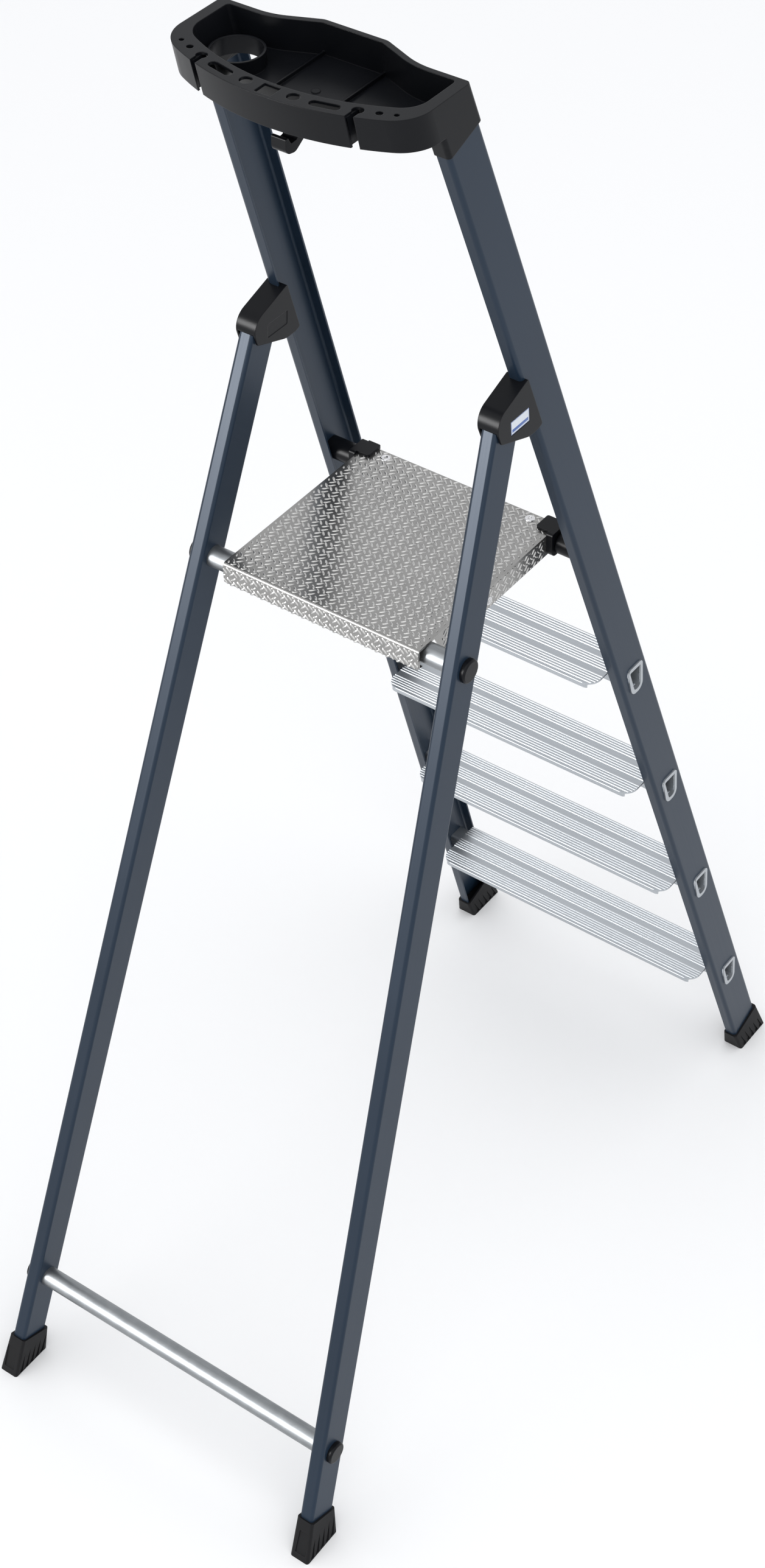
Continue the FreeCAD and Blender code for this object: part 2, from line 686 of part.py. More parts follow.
def bracket_outline():
    """Side view of the bracket from the pin, square to and along the rail."""
    fore = -PIN_SETBACK - BRACKET_LAP
    nose = NOSE_OFFSET + NOSE_R
    return [(fore, BRACKET_UP, BRACKET_CORNER), (nose, BRACKET_UP, NOSE_R - 0.2),
            (nose, -BRACKET_CHIN, 3.0), (-PIN_SETBACK / 2, -BRACKET_DOWN + 5.0, BRACKET_SWEEP_R),
            (fore + BRACKET_TOE, -BRACKET_DOWN, 3 * BRACKET_CORNER), (fore, -BRACKET_DOWN, BRACKET_CORNER)]


def leg_room():
    """Space inside the bracket that the leg's end sweeps through."""
    inner_r = NOSE_R - BRACKET_WALL - 0.2
    top = BRACKET_UP - BRACKET_WALL
    front = BRACKET_BACK_WALL - PIN_SETBACK
    tilt = RAIL_ANGLE + LEG_ANGLE
    clear = LEG_DEPTH * math.cos(LEG_ANGLE) / 2 + LEG_NOSE_GAP
    normal = (math.cos(tilt), math.sin(tilt))
    # the leg's rear side, moved off by the gap, crosses the top face here
    corner = (clear - normal[1] * top) / normal[0]
    below = -2 * BRACKET_DOWN
    foot = (clear - normal[1] * below) / normal[0]
    return [(front, below), (foot, below), (corner, top, inner_r), (front, top)]


def make_bracket():
    """Right hinge bracket: grips the rail's rear flange and boxes in the leg's end."""
    body = prism(bracket_outline(), along_rail(bracket_x(0)), V(-BRACKET_WIDTH, 0, 0))
    room = prism(leg_room(), along_rail(bracket_x(BRACKET_WALL)),
                 V(-BRACKET_WIDTH + 2 * BRACKET_WALL, 0, 0))
    body = body.cut(room)
    low, high = PIN_Z - 3 * BRACKET_DOWN, PIN_Z + 3 * BRACKET_DOWN
    rail = rail_envelope(low, high).cut(rail_hollow(low - 1, high + 1))
    body = body.cut(rail)
    seat = BRACKET_WIDTH - 2 * (BRACKET_WALL - PIN_SEAT)
    face = bracket_x(BRACKET_WALL - PIN_SEAT)(PIN_Z)
    body = body.cut(rod(face - seat, face, PIN_Y, PIN_Z, PIN_R))
    for depth in (BADGE_DEPTH, BRACKET_WIDTH + BADGE_DEPTH):
        body = body.cut(prism(badge_outline(), level_on(bracket_x(depth)), V(2 * BADGE_DEPTH, 0, 0)))
    return body


def badge_outline():
    """Level rounded rectangle (y, z), forward of the pin and below it."""
    y = PIN_Y - BADGE_FORE
    z = PIN_Z - BADGE_DROP
    return rectangle(y - BADGE_W / 2, y + BADGE_W / 2, z - BADGE_H / 2, z + BADGE_H / 2, 1.5)


def level_on(x_at_height):
    """Place (y, z) points on a plane that splays with the rail."""
    return lambda a, b: V(x_at_height(b), a, b)


def make_hinge_pin():
    """Right pin, seated in both side plates of its bracket."""
    seat = BRACKET_WIDTH - 2 * (BRACKET_WALL - PIN_SEAT)
    face = bracket_x(BRACKET_WALL - PIN_SEAT)(PIN_Z)
    return rod(face - seat, face, PIN_Y, PIN_Z, PIN_R)


# ---------------------------------------------------------------- platform
def plate_skirts():
    """Top and side flanges, cut away behind for the cross tube."""
    half = PLATFORM_WIDTH / 2
    under = PLATFORM_Z - PLATE_T
    low = PLATFORM_Z - FLANGE_DEPTH
    front, back = PLATE_FRONT_Y, PLATE_BACK_Y
    inner = PLATE_BEND - PLATE_T
    section = [(-half, low), (-half, PLATFORM_Z, PLATE_BEND), (half, PLATFORM_Z, PLATE_BEND), (half, low),
               (half - PLATE_T, low), (half - PLATE_T, under, inner),
               (-half + PLATE_T, under, inner), (-half + PLATE_T, low)]
    skirts = prism(section, facing_back(front), V(0, back - front, 0))
    limit = prism([(front, low - 1), (front, PLATFORM_Z, PLATE_BEND), (back, PLATFORM_Z, PLATE_BEND),
                   (back, low - 1)], on_side(-half - 1), V(2 * half + 2, 0, 0))
    top = UPPER_TUBE_Y - TUBE_R + NOTCH_LAP
    notch = [(top - NOTCH_LAP - NOTCH_SLANT, low - 1), (top, under, 2.0), (back + 1, under),
             (back + 1, low - 1)]
    return skirts.common(limit).cut(prism(notch, on_side(-half - 1), V(2 * half + 2, 0, 0)))


def plate_spine():
    """Top, front flange and hooked rear flange, the rear one with rounded lower corners."""
    half = PLATFORM_WIDTH / 2
    under = PLATFORM_Z - PLATE_T
    low = PLATFORM_Z - FLANGE_DEPTH
    front, back = PLATE_FRONT_Y, PLATE_BACK_Y
    inner = PLATE_BEND - PLATE_T
    profile = [(front, PLATFORM_Z - FRONT_FLANGE), (front, PLATFORM_Z, PLATE_BEND),
               (back, PLATFORM_Z, PLATE_BEND), (back, low, PLATE_BEND), (back - CURL, low),
               (back - CURL, low + PLATE_T), (back - PLATE_T, low + PLATE_T, inner),
               (back - PLATE_T, under, inner), (front + PLATE_T, under, inner),
               (front + PLATE_T, PLATFORM_Z - FRONT_FLANGE)]
    spine = prism(profile, on_side(-half), V(2 * half, 0, 0))
    keep = prism([(-half, low, FLANGE_CORNER), (half, low, FLANGE_CORNER), (half, PLATFORM_Z + 1),
                  (-half, PLATFORM_Z + 1)], facing_back(front), V(0, back - front, 0))
    return spine.common(keep)


def make_plate():
    """Folded chequer plate, pierced for its rivets and journals."""
    half = PLATFORM_WIDTH / 2
    body = plate_skirts().fuse(plate_spine())
    for side in SIDES.values():
        for z, y, x, axis in platform_rivet_places():
            if axis == "z":
                hole = Part.makeCylinder(RIVET_SHANK_R, 4 * PLATE_T, V(x, y, z - 3 * PLATE_T))
            else:
                hole = rod(x - 2 * PLATE_T, x + PLATE_T, y, z, RIVET_SHANK_R)
            body = body.cut(mirrored(hole, side))
        hole = rod(half - 2 * PLATE_T, half + 1, JOURNAL_Y, JOURNAL_Z, JOURNAL_R + JOURNAL_HOLE_GAP)
        body = body.cut(mirrored(hole, side))
    return body


def platform_rivet_places():
    """Height, y, x and direction of the rivets on the right half."""
    return [(PLATFORM_Z, PLATE_FRONT_Y + TOP_RIVET_BACK, TOP_RIVET_X, "z"),
            (PLATFORM_Z - SIDE_RIVET_DROP, PLATE_FRONT_Y + SIDE_RIVET_Y, PLATFORM_WIDTH / 2, "x")]


def make_top_rivet():
    """Shallow domed rivet through the plate's right front corner."""
    z, y, x, _ = platform_rivet_places()[0]
    head = Part.makeCone(RIVET_R, RIVET_CROWN_R, RIVET_H, V(x, y, z))
    shank = Part.makeCylinder(RIVET_SHANK_R, PLATE_T, V(x, y, z - PLATE_T))
    tail = Part.makeCylinder(RIVET_TAIL_R, RIVET_H, V(x, y, z - PLATE_T - RIVET_H))
    return head.fuse(shank).fuse(tail)


def make_side_rivet():
    """Flat rivet through the plate's right flange."""
    z, y, x, _ = platform_rivet_places()[1]
    head = rod(x, x + SIDE_RIVET_H, y, z, SIDE_RIVET_R)
    shank = rod(x - PLATE_T, x, y, z, RIVET_SHANK_R)
    tail = rod(x - PLATE_T - RIVET_H, x - PLATE_T, y, z, RIVET_TAIL_R)
    return head.fuse(shank).fuse(tail)


def make_journal_block():
    """Moulded block on the right flange: a tab over the plate, and the journal's bore."""
    half = PLATFORM_WIDTH / 2
    front = JOURNAL_Y - BLOCK_FORE
    back = JOURNAL_Y + BLOCK_AFT
    top = PLATFORM_Z + TAB_T
    low = JOURNAL_Z - BARREL_R
    body = prism([(front, low, BLOCK_FOOT_R), (back, low, BLOCK_FOOT_R), (back, top, 3.0), (front, top, 3.0)],
                 on_side(half), V(BLOCK_T, 0, 0))
    tab = prism(rectangle(half - TAB_W, half, front, front + TAB_LENGTH, 0.0),
                on_plan(PLATFORM_Z), V(0, 0, TAB_T))
    edges = [edge for edge in tab.Edges
             if edge.BoundBox.XMax < half - 0.1 and edge.BoundBox.ZLength > TAB_T / 2]
    tab = tab.makeFillet(2.5, edges)
    body = body.fuse(tab)
    return body.cut(rod(half - 1, half + BLOCK_T + 1, JOURNAL_Y, JOURNAL_Z, JOURNAL_R + PIN_CLEARANCE))


def make_barrel():
    """Fixed barrel in the right rail's channel, which holds the journal."""
    start = PLATFORM_WIDTH / 2 + BLOCK_T + BLOCK_RUN_GAP
    end = rail_x(JOURNAL_Z) + RAIL_WIDTH
    barrel = rod(start, end, JOURNAL_Y, JOURNAL_Z, BARREL_R)
    rim = [edge for edge in barrel.Edges if edge.BoundBox.XMax < start + 0.1]
    barrel = barrel.makeFillet(1.0, rim)
    barrel = barrel.cut(rail_outside(JOURNAL_Z - 3 * BARREL_R, JOURNAL_Z + 3 * BARREL_R))
    return barrel.cut(rod(start - 1, end, JOURNAL_Y, JOURNAL_Z, JOURNAL_R))


def make_journal():
    """Steel journal from the right rail's web into the block."""
    start = PLATFORM_WIDTH / 2 + JOURNAL_START
    journal = rod(start, rail_x(JOURNAL_Z) + RAIL_WIDTH, JOURNAL_Y, JOURNAL_Z, JOURNAL_R)
    return journal.cut(rail_outside(JOURNAL_Z - 3 * BARREL_R, JOURNAL_Z + 3 * BARREL_R))


# ---------------------------------------------------------------- tray
TRAY_FRONT_Y = rail_y(RIM_Z) - RAIL_DEPTH - SLEEVE_WALL     # side parts of the front wall
TRAY_BACK_Y = rail_y(RIM_Z) + TRAY_BACK
TRAY_ARC_Y = TRAY_BACK_Y - TRAY_BACK_R
TRAY_HALF = rail_x(RIM_Z) + TRAY_SIDE_WALL


def tray_points(drop, inset, side_inset, front_inset, back_inset, corner):
    """Plan of the tray at a depth below the rim, drawn in by the insets."""
    half = TRAY_HALF + RAIL_SPLAY * drop - side_inset
    shift = -TRAY_LEAN * drop
    front = TRAY_FRONT_Y + shift + front_inset
    radius = TRAY_BACK_R - back_inset
    centre = TRAY_ARC_Y + shift
    turn = math.asin((half - corner) / (radius - corner))
    apex = centre + radius / math.cos(turn)
    shoulder = centre + (radius - half * math.sin(turn)) / math.cos(turn)
    fore_r = BULGE_R - inset
    return [(-half, front, TRAY_FRONT_R), (-BULGE_FOOT + inset, front, BULGE_EASE_R),
            (-BULGE_HALF + inset, front - BULGE, fore_r), (BULGE_HALF - inset, front - BULGE, fore_r),
            (BULGE_FOOT - inset, front, BULGE_EASE_R), (half, front, TRAY_FRONT_R),
            (half, shoulder, corner - 0.3), (0.0, apex, radius - 0.6), (-half, shoulder, corner - 0.3)]


def tray_wire(drop, inset, side_inset, front_inset, back_inset, corner):
    """The plan as a wire at its depth."""
    points = tray_points(drop, inset, side_inset, front_inset, back_inset, corner)
    return outline(points, on_plan(RIM_Z - drop))


def tray_body():
    """Outer form of the tray from its rim to its underside."""
    draft = TRAY_DRAFT * TRAY_DEPTH
    return loft(tray_wire(TRAY_DEPTH, 0.0, 0.0, draft, draft, TRAY_BACK_CORNER),
                tray_wire(0.0, 0.0, 0.0, 0.0, 0.0, TRAY_BACK_CORNER))


def bowl_form(grow, top_drop, low_drop):
    """The bowl's inside, or its outside when grown by a wall."""
    def wire(drop):
        share = drop / TRAY_DEPTH
        return tray_wire(drop, 3.0, TRAY_SIDE_RIM + BOWL_SIDE_SLOPE * share - grow,
                         TRAY_FRONT_RIM + BOWL_FRONT_SLOPE * share - grow,
                         TRAY_BAND + BOWL_BACK_SLOPE * share - grow, BOWL_CORNER_R + grow)
    return loft(wire(low_drop), wire(top_drop))


def tool_hole_places():
    """Kind, x and distance in front of the apron's arc of each hole in the tool band."""
    middle = TRAY_BAND / 2
    return [("square", 0.0, middle), ("round", 27.3, middle + 1.5), ("slot", 60.0, middle),
            ("key", 90.0, middle + 1.0), ("drill", 109.2, middle), ("awl", 124.2, middle - 1.0)]


def band_y(x, inward):
    """y of a point at x, inward of the apron's arc."""
    return TRAY_ARC_Y + math.sqrt((TRAY_BACK_R - inward) ** 2 - x ** 2)


def tool_cuts():
    """Cutting solids for the tool band, both halves."""
    low = RIM_Z - TRAY_BAND_T - 1.0
    rise = V(0, 0, TRAY_BAND_T + 2.0)
    cuts = []
    for kind, x, inward in tool_hole_places():
        y = band_y(x, inward)
        if kind == "square":
            wide, deep = SQUARE_HOLE
            cut = prism(rectangle(-wide / 2, wide / 2, y - deep / 2, y + deep / 2, 1.0), on_plan(low), rise)
        elif kind == "slot":
            tilt = math.asin(x / (TRAY_BACK_R - inward))
            span, radius = PLIER_SLOT
            along = (math.cos(tilt) * span / 2, -math.sin(tilt) * span / 2)
            ends = [(x - along[0], y - along[1]), (x + along[0], y + along[1])]
            cut = slot_solid(ends[0], ends[1], radius, low, rise)
        elif kind == "key":
            hole = Part.makeCylinder(KEY_R, rise.z, V(x, y, low))
            mouth = block(x - KEY_MOUTH / 2, x + KEY_MOUTH / 2, y, TRAY_BACK_Y + 5,
                          RIM_Z - TRAY_DEPTH - 1, RIM_Z + 2)
            cut = hole.fuse(mouth)
        else:
            radius = {"round": ROUND_HOLE_R, "drill": DRILL_R, "awl": AWL_R}[kind]
            cut = Part.makeCylinder(radius, rise.z, V(x, y, low))
        for side in SIDES.values():
            cuts.append(mirrored(cut, side))
    return cuts


def slot_solid(start, end, radius, low, rise):
    """Round-ended slot between two centres."""
    turn = _unit(end[0] - start[0], end[1] - start[1])
    side = (-turn[1] * radius, turn[0] * radius)
    reach = (turn[0] * radius, turn[1] * radius)
    points = [(start[0] - reach[0] - side[0], start[1] - reach[1] - side[1], radius - 0.01),
              (end[0] + reach[0] - side[0], end[1] + reach[1] - side[1], radius - 0.01),
              (end[0] + reach[0] + side[0], end[1] + reach[1] + side[1], radius - 0.01),
              (start[0] - reach[0] + side[0], start[1] - reach[1] + side[1], radius - 0.01)]
    return prism(points, on_plan(low), rise)


def sleeve():
    """Right sleeve down the rail, cut square to the rail at its lower end."""
    low = RAIL_TOP - SLEEVE_DROP
    wall = SLEEVE_WALL
    section = [(-RAIL_WIDTH - wall, -RAIL_DEPTH - wall, 2.0),
               (TRAY_SIDE_WALL, -RAIL_DEPTH - wall, RAIL_CORNER),
               (TRAY_SIDE_WALL, wall, RAIL_CORNER), (-RAIL_WIDTH - wall, wall, 2.0)]
    column = rail_column(section, low - RAIL_DEPTH, RIM_Z)
    back = rail_y(low) + wall
    reach = 2 * RAIL_DEPTH
    keep = prism([(back, low), (back + reach, low - reach * RAIL_LEAN), (back + reach, RIM_Z + 1),
                  (back - reach, RIM_Z + 1), (back - reach, low + reach * RAIL_LEAN)],
                 on_side(0), V(2 * TRAY_HALF, 0, 0))
    return column.common(keep)


def make_tray():
    """Moulded tray: bowl, tool band with its apron, cup ring and two sleeves."""
    floor_drop = TRAY_DEPTH - TRAY_FLOOR
    body = tray_body()
    for side in SIDES.values():
        body = body.fuse(mirrored(sleeve(), side))
    body = body.cut(bowl_form(0.0, -0.01, floor_drop))
    body = body.cut(apron_hollow())
    envelope = rail_envelope(RAIL_TOP - 3 * SLEEVE_DROP, RAIL_TOP)
    for side in SIDES.values():
        body = body.cut(mirrored(envelope, side))
    floor_z = RIM_Z - floor_drop
    cup_y = rail_y(RIM_Z) - CUP_BACK
    ring = Part.makeCylinder(CUP_R, CUP_H + TRAY_FLOOR, V(CUP_X, cup_y, floor_z - TRAY_FLOOR))
    room = bowl_form(0.5, 1.0, TRAY_DEPTH)
    body = body.fuse(ring.common(room))
    bore = Part.makeCylinder(CUP_R - CUP_WALL, CUP_H + 3 * TRAY_FLOOR,
                             V(CUP_X, cup_y, floor_z - 2 * TRAY_FLOOR))
    body = body.cut(bore)
    for side in SIDES.values():
        x = side * BAY_HALF
        rib = block(x - BAY_RIB_T / 2, x + BAY_RIB_T / 2, TRAY_FRONT_Y - BULGE, TRAY_BACK_Y,
                    floor_z - 0.5, floor_z + BAY_RIB_H)
        body = body.fuse(rib.common(room))
    body = body.fuse(Part.makeCylinder(PIP_R, PIP_H + 0.2, V(0, cup_y, floor_z - 0.2)))
    for cut in tool_cuts():
        body = body.cut(cut)
    return body


def apron_hollow():
    """Space under the tool band, between the bowl's rear wall and the apron."""
    top_drop = TRAY_BAND_T
    low_drop = TRAY_DEPTH + 1.0
    draft = TRAY_DRAFT

    def wire(drop):
        return tray_wire(drop, 0.0, TRAY_WALL, TRAY_WALL + draft * drop,
                         TRAY_WALL + draft * drop, TRAY_BACK_CORNER - TRAY_WALL)
    space = loft(wire(low_drop), wire(top_drop))
    space = space.cut(bowl_form(TRAY_WALL, 0.0, low_drop + 1.0))
    fore = rail_y(RIM_Z) + SLEEVE_WALL + 1.0
    keep = block(-TRAY_HALF, TRAY_HALF, fore, TRAY_BACK_Y, RIM_Z - 2 * TRAY_DEPTH, RIM_Z)
    return space.common(keep)


def make_tray_plug():
    """Filling of the right rail's open side, inside the sleeve."""
    low = RAIL_TOP - TRAY_PLUG_DEPTH
    return rail_envelope(low, RAIL_TOP).common(rail_hollow(low - 1, RAIL_TOP + 1))


def make_bucket_hook():
    """Hook under the bowl, open to the rear."""
    top = RIM_Z - TRAY_DEPTH
    stem = TRAY_BACK_Y - HOOK_SETBACK
    tip = stem + HOOK_REACH
    seat = top - HOOK_SEAT
    low = top - HOOK_DROP
    points = [(stem - HOOK_ROOT, top), (stem - HOOK_ROOT / 2, seat, 22.0), (stem + HOOK_TIP_T, low, 9.0),
              (tip, low + 3.0, 8.0), (tip, top - HOOK_TIP_DROP, 1.2),
              (tip - HOOK_TIP_T, top - HOOK_TIP_DROP, 1.2), (tip - 2 * HOOK_TIP_T, seat - 0.5, 2.5),
              (stem, seat, 3.0), (stem, top)]
    return prism(points, on_side(-HOOK_W / 2), V(HOOK_W, 0, 0))


# ---------------------------------------------------------------- build
def build_front_frame():
    """Rails, treads, brackets, journals, tray and feet."""
    tops = step_heights()
    reach = tube_span(0) + RAIL_WIDTH
    rail = make_rail([step_tube_solid(top, reach) for top in tops])
    for number, top in enumerate(tops, start=1):
        save(f"tread_{number}", make_tread(top))
    pieces = {"front_rail": rail, "front_foot": make_front_foot(), "hinge_bracket": make_bracket(),
              "hinge_pin": make_hinge_pin(), "platform_barrel": make_barrel(),
              "platform_journal": make_journal(), "tray_plug": make_tray_plug()}
    save_pairs(pieces)
    save("tool_tray", make_tray())
    save("bucket_hook", make_bucket_hook())


def build_rear_frame():
    """Legs, their plugs and boots, cross tubes and caps."""
    save_pairs({"rear_leg": make_leg(), "leg_plug": make_leg_plug(), "rear_foot": make_rear_foot(),
                "upper_tube_cap": make_tube_cap(UPPER_TUBE_Z),
                "lower_tube_cap": make_tube_cap(LOWER_TUBE_Z)})
    save("upper_cross_tube", make_cross_tube(UPPER_TUBE_Z))
    save("lower_cross_tube", make_cross_tube(LOWER_TUBE_Z))


def build_platform():
    """Chequer plate, journal blocks and rivets."""
    save("platform_plate", make_plate())
    save_pairs({"journal_block": make_journal_block(), "platform_rivet": make_top_rivet(),
                "flange_rivet": make_side_rivet()})


def save_pairs(pieces):
    """Write the left and right copy of each piece."""
    for name, shape in pieces.items():
        for side_name, side in SIDES.items():
            save(f"{name}_{side_name}", mirrored(shape, side))


def main():
    """Write every node."""
    os.makedirs("parts", exist_ok=True)
    build_front_frame()
    build_rear_frame()
    build_platform()
    print(f"pin y {PIN_Y:.3f} z {PIN_Z:.3f}; journal y {JOURNAL_Y:.3f} z {JOURNAL_Z:.3f}")


main()
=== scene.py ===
"""Looks of a folding platform step ladder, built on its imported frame.

The frame brings every load-bearing piece in metres, +Z up, standing on the floor.
This file dresses them and adds the raised bars of the chequer plate, the turned
rivets, the rolled rims of the step tubes, the folded tabs inside them, the fins under
the tray's tool band and the blank label.
"""

import logging
import math
from dataclasses import dataclass
from enum import Enum
from typing import Callable, Sequence, Union

import bpy
from mathutils import Matrix, Vector


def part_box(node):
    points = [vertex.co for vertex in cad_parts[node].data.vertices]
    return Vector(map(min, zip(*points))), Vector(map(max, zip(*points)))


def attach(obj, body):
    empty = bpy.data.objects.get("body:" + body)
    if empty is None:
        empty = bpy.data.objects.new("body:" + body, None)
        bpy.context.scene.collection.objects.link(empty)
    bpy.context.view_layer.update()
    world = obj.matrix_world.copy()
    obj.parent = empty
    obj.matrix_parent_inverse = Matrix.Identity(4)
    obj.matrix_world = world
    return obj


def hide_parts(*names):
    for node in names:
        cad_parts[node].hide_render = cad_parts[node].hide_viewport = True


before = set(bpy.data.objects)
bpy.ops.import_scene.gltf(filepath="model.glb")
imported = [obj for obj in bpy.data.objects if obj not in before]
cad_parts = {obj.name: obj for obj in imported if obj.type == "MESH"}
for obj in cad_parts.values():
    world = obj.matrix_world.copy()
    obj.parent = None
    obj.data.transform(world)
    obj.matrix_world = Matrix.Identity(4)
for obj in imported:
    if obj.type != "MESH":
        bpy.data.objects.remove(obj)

LOG = logging.getLogger("step_ladder")
Number = Union[int, float]


# ------------------------------------------------------------------ shader expressions
class Signal:
    """A value inside a finish: wraps an output socket, and arithmetic adds Math nodes."""

    def __init__(self, recipe: "Recipe", socket: bpy.types.NodeSocket) -> None:
        """Remember the recipe and the socket."""
        self.recipe = recipe
        self.socket = socket

    def _math(self, operation: str, first: "Operand", second: "Operand") -> "Signal":
        """Join two operands in a Math node.

        Args:
            operation: the node's operation.
            first: its first value or signal.
            second: its second value or signal.

        Returns:
            The node's result.
        """
        return self.recipe.add("ShaderNodeMath", {"operation": operation}, {0: first, 1: second}).out()

    def __add__(self, other: "Operand") -> "Signal":
        """Sum."""
        return self._math("ADD", self, other)

    __radd__ = __add__

    def __sub__(self, other: "Operand") -> "Signal":
        """Difference."""
        return self._math("SUBTRACT", self, other)

    def __rsub__(self, other: "Operand") -> "Signal":
        """Difference, the other way round."""
        return self._math("SUBTRACT", other, self)

    def __mul__(self, other: "Operand") -> "Signal":
        """Product."""
        return self._math("MULTIPLY", self, other)

    __rmul__ = __mul__

    def __truediv__(self, other: "Operand") -> "Signal":
        """Quotient."""
        return self._math("DIVIDE", self, other)

    def __abs__(self) -> "Signal":
        """Size without sign."""
        return self._math("ABSOLUTE", self, 0.0)

    def above(self, limit: "Operand") -> "Signal":
        """One where this is greater than the limit, otherwise nought."""
        return self._math("GREATER_THAN", self, limit)

    def fraction(self) -> "Signal":
        """Part after the point."""
        return self._math("FRACT", self, 0.0)

    def clamped(self) -> "Signal":
        """Held between nought and one."""
        return self._math("MAXIMUM", self._math("MINIMUM", self, 1.0), 0.0)


Operand = Union[Signal, Number]


@dataclass
class Placed:
    """A node of a recipe, with short ways to its outputs."""

    recipe: "Recipe"
    node: bpy.types.Node

    def out(self, name: Union[int, str] = 0) -> Signal:
        """Output socket, by number or name."""
        return Signal(self.recipe, self.node.outputs[name])


class Recipe:
    """Builds the nodes of one material."""

    def __init__(self, name: str) -> None:
        """Start an empty material with a Principled shader.

        Args:
            name: the material's name.
        """
        self.material = bpy.data.materials.new(name)
        self.material.use_nodes = True
        self.tree = self.material.node_tree
        self.tree.nodes.clear()
        self.shader = self.add("ShaderNodeBsdfPrincipled")
        self.add("ShaderNodeOutputMaterial", sockets={"Surface": self.shader.out("BSDF")})

    def add(self, kind: str, settings: dict | None = None, sockets: dict | None = None) -> Placed:
        """Add a node.

        Args:
            kind: the node's type name.
            settings: its own properties, set first; "stops" fills a colour ramp.
            sockets: values or signals for its inputs, by number or name.

        Returns:
            The placed node.
        """
        node = self.tree.nodes.new(kind)
        for key, value in (settings or {}).items():
            if key == "stops":
                self._fill_ramp(node.color_ramp, value)
            else:
                setattr(node, key, value)
        placed = Placed(self, node)
        self.feed(placed, sockets or {})
        return placed

    def feed(self, placed: Placed, sockets: dict) -> None:
        """Set or link inputs of a placed node.

        Args:
            placed: the node.
            sockets: values or signals, by input number or name.
        """
        for key, value in sockets.items():
            target = placed.node.inputs[key]
            if isinstance(value, Signal):
                self.tree.links.new(value.socket, target)
            else:
                target.default_value = value

    @staticmethod
    def _fill_ramp(ramp: bpy.types.ColorRamp, stops: Sequence[tuple[float, tuple]]) -> None:
        """Give a ramp its stops.

        Args:
            ramp: the ramp.
            stops: pairs of a position and a colour.
        """
        while len(ramp.elements) < len(stops):
            ramp.elements.new(0.5)
        for element, (position, colour) in zip(ramp.elements, stops):
            element.position = position
            element.color = colour

    def place(self) -> Signal:
        """Object coordinates."""
        return self.add("ShaderNodeTexCoord").out("Object")

    def axes(self) -> tuple[Signal, Signal, Signal]:
        """Object coordinates as three numbers."""
        split = self.add("ShaderNodeSeparateXYZ", sockets={0: self.place()})
        return split.out("X"), split.out("Y"), split.out("Z")

    def vector(self, x: Operand, y: Operand, z: Operand) -> Signal:
        """Three numbers as a vector."""
        return self.add("ShaderNodeCombineXYZ", sockets={0: x, 1: y, 2: z}).out()

    def noise(self, where: Signal, scale: float, detail: float = 2.0, rough: float = 0.5) -> Signal:
        """Smooth noise from nought to one."""
        sockets = {"Vector": where, "Scale": scale, "Detail": detail, "Roughness": rough}
        return self.add("ShaderNodeTexNoise", {"noise_dimensions": "3D"}, sockets).out()

    def blend(self, amount: Operand, low: "Colour", high: "Colour") -> Signal:
        """Mix two colours."""
        sockets = {0: amount, 6: low, 7: high}
        return self.add("ShaderNodeMix", {"data_type": "RGBA"}, sockets).out(2)

    def eased(self, radius: float) -> Signal:
        """Surface direction with softened edges of that radius, in metres."""
        return self.add("ShaderNodeBevel", {"samples": 4}, {"Radius": radius}).out()

    def relief(self, height: Signal, depth: float, strength: float, over: Signal) -> Signal:
        """Bump over a surface direction, depth in metres."""
        sockets = {"Height": height, "Distance": depth, "Strength": strength, "Normal": over}
        return self.add("ShaderNodeBump", None, sockets).out()

    def finish(self, sockets: dict) -> bpy.types.Material:
        """Set the shader's inputs and hand over the material."""
        self.feed(self.shader, sockets)
        return self.material


Colour = Union[Signal, tuple[float, float, float, float]]


def tone(red: float, green: float, blue: float) -> tuple[float, float, float, float]:
    """Opaque linear colour."""
    return (red, green, blue, 1.0)


# ------------------------------------------------------------------ finishes
@dataclass(frozen=True)
class SlateCoat:
    """Satin slate-blue coat over an extrusion that leans by a slope and splays by another."""

    name: str
    lean: float
    splay: float
    dark: tuple = tone(0.0088, 0.0198, 0.0370)
    light: tuple = tone(0.0148, 0.0295, 0.0530)

    def material(self) -> bpy.types.Material:
        """Coat with die lines along the extrusion and a soft drift of tone.

        Returns:
            The material.
        """
        recipe = Recipe(self.name)
        x, y, z = recipe.axes()
        across = y - z * self.lean
        sideways = abs(x) + z * self.splay
        lines = recipe.noise(recipe.vector(sideways * 700.0, across * 700.0, z * 3.0), 1.0, 3.0)
        drift = recipe.noise(recipe.place(), 5.0, 3.0)
        speck = recipe.noise(recipe.place(), 900.0, 1.0)
        amount = (drift * 0.9 + lines * 0.35 - 0.15).clamped()
        grain = lines * 0.6 + speck * 0.4
        normal = recipe.relief(grain, 0.00006, 0.35, recipe.eased(0.0005))
        return recipe.finish({
            "Base Color": recipe.blend(amount, self.dark, self.light),
            "Metallic": 0.16, "Roughness": lines * 0.10 + drift * 0.08 + 0.26,
            "Specular IOR Level": 0.27, "Normal": normal})


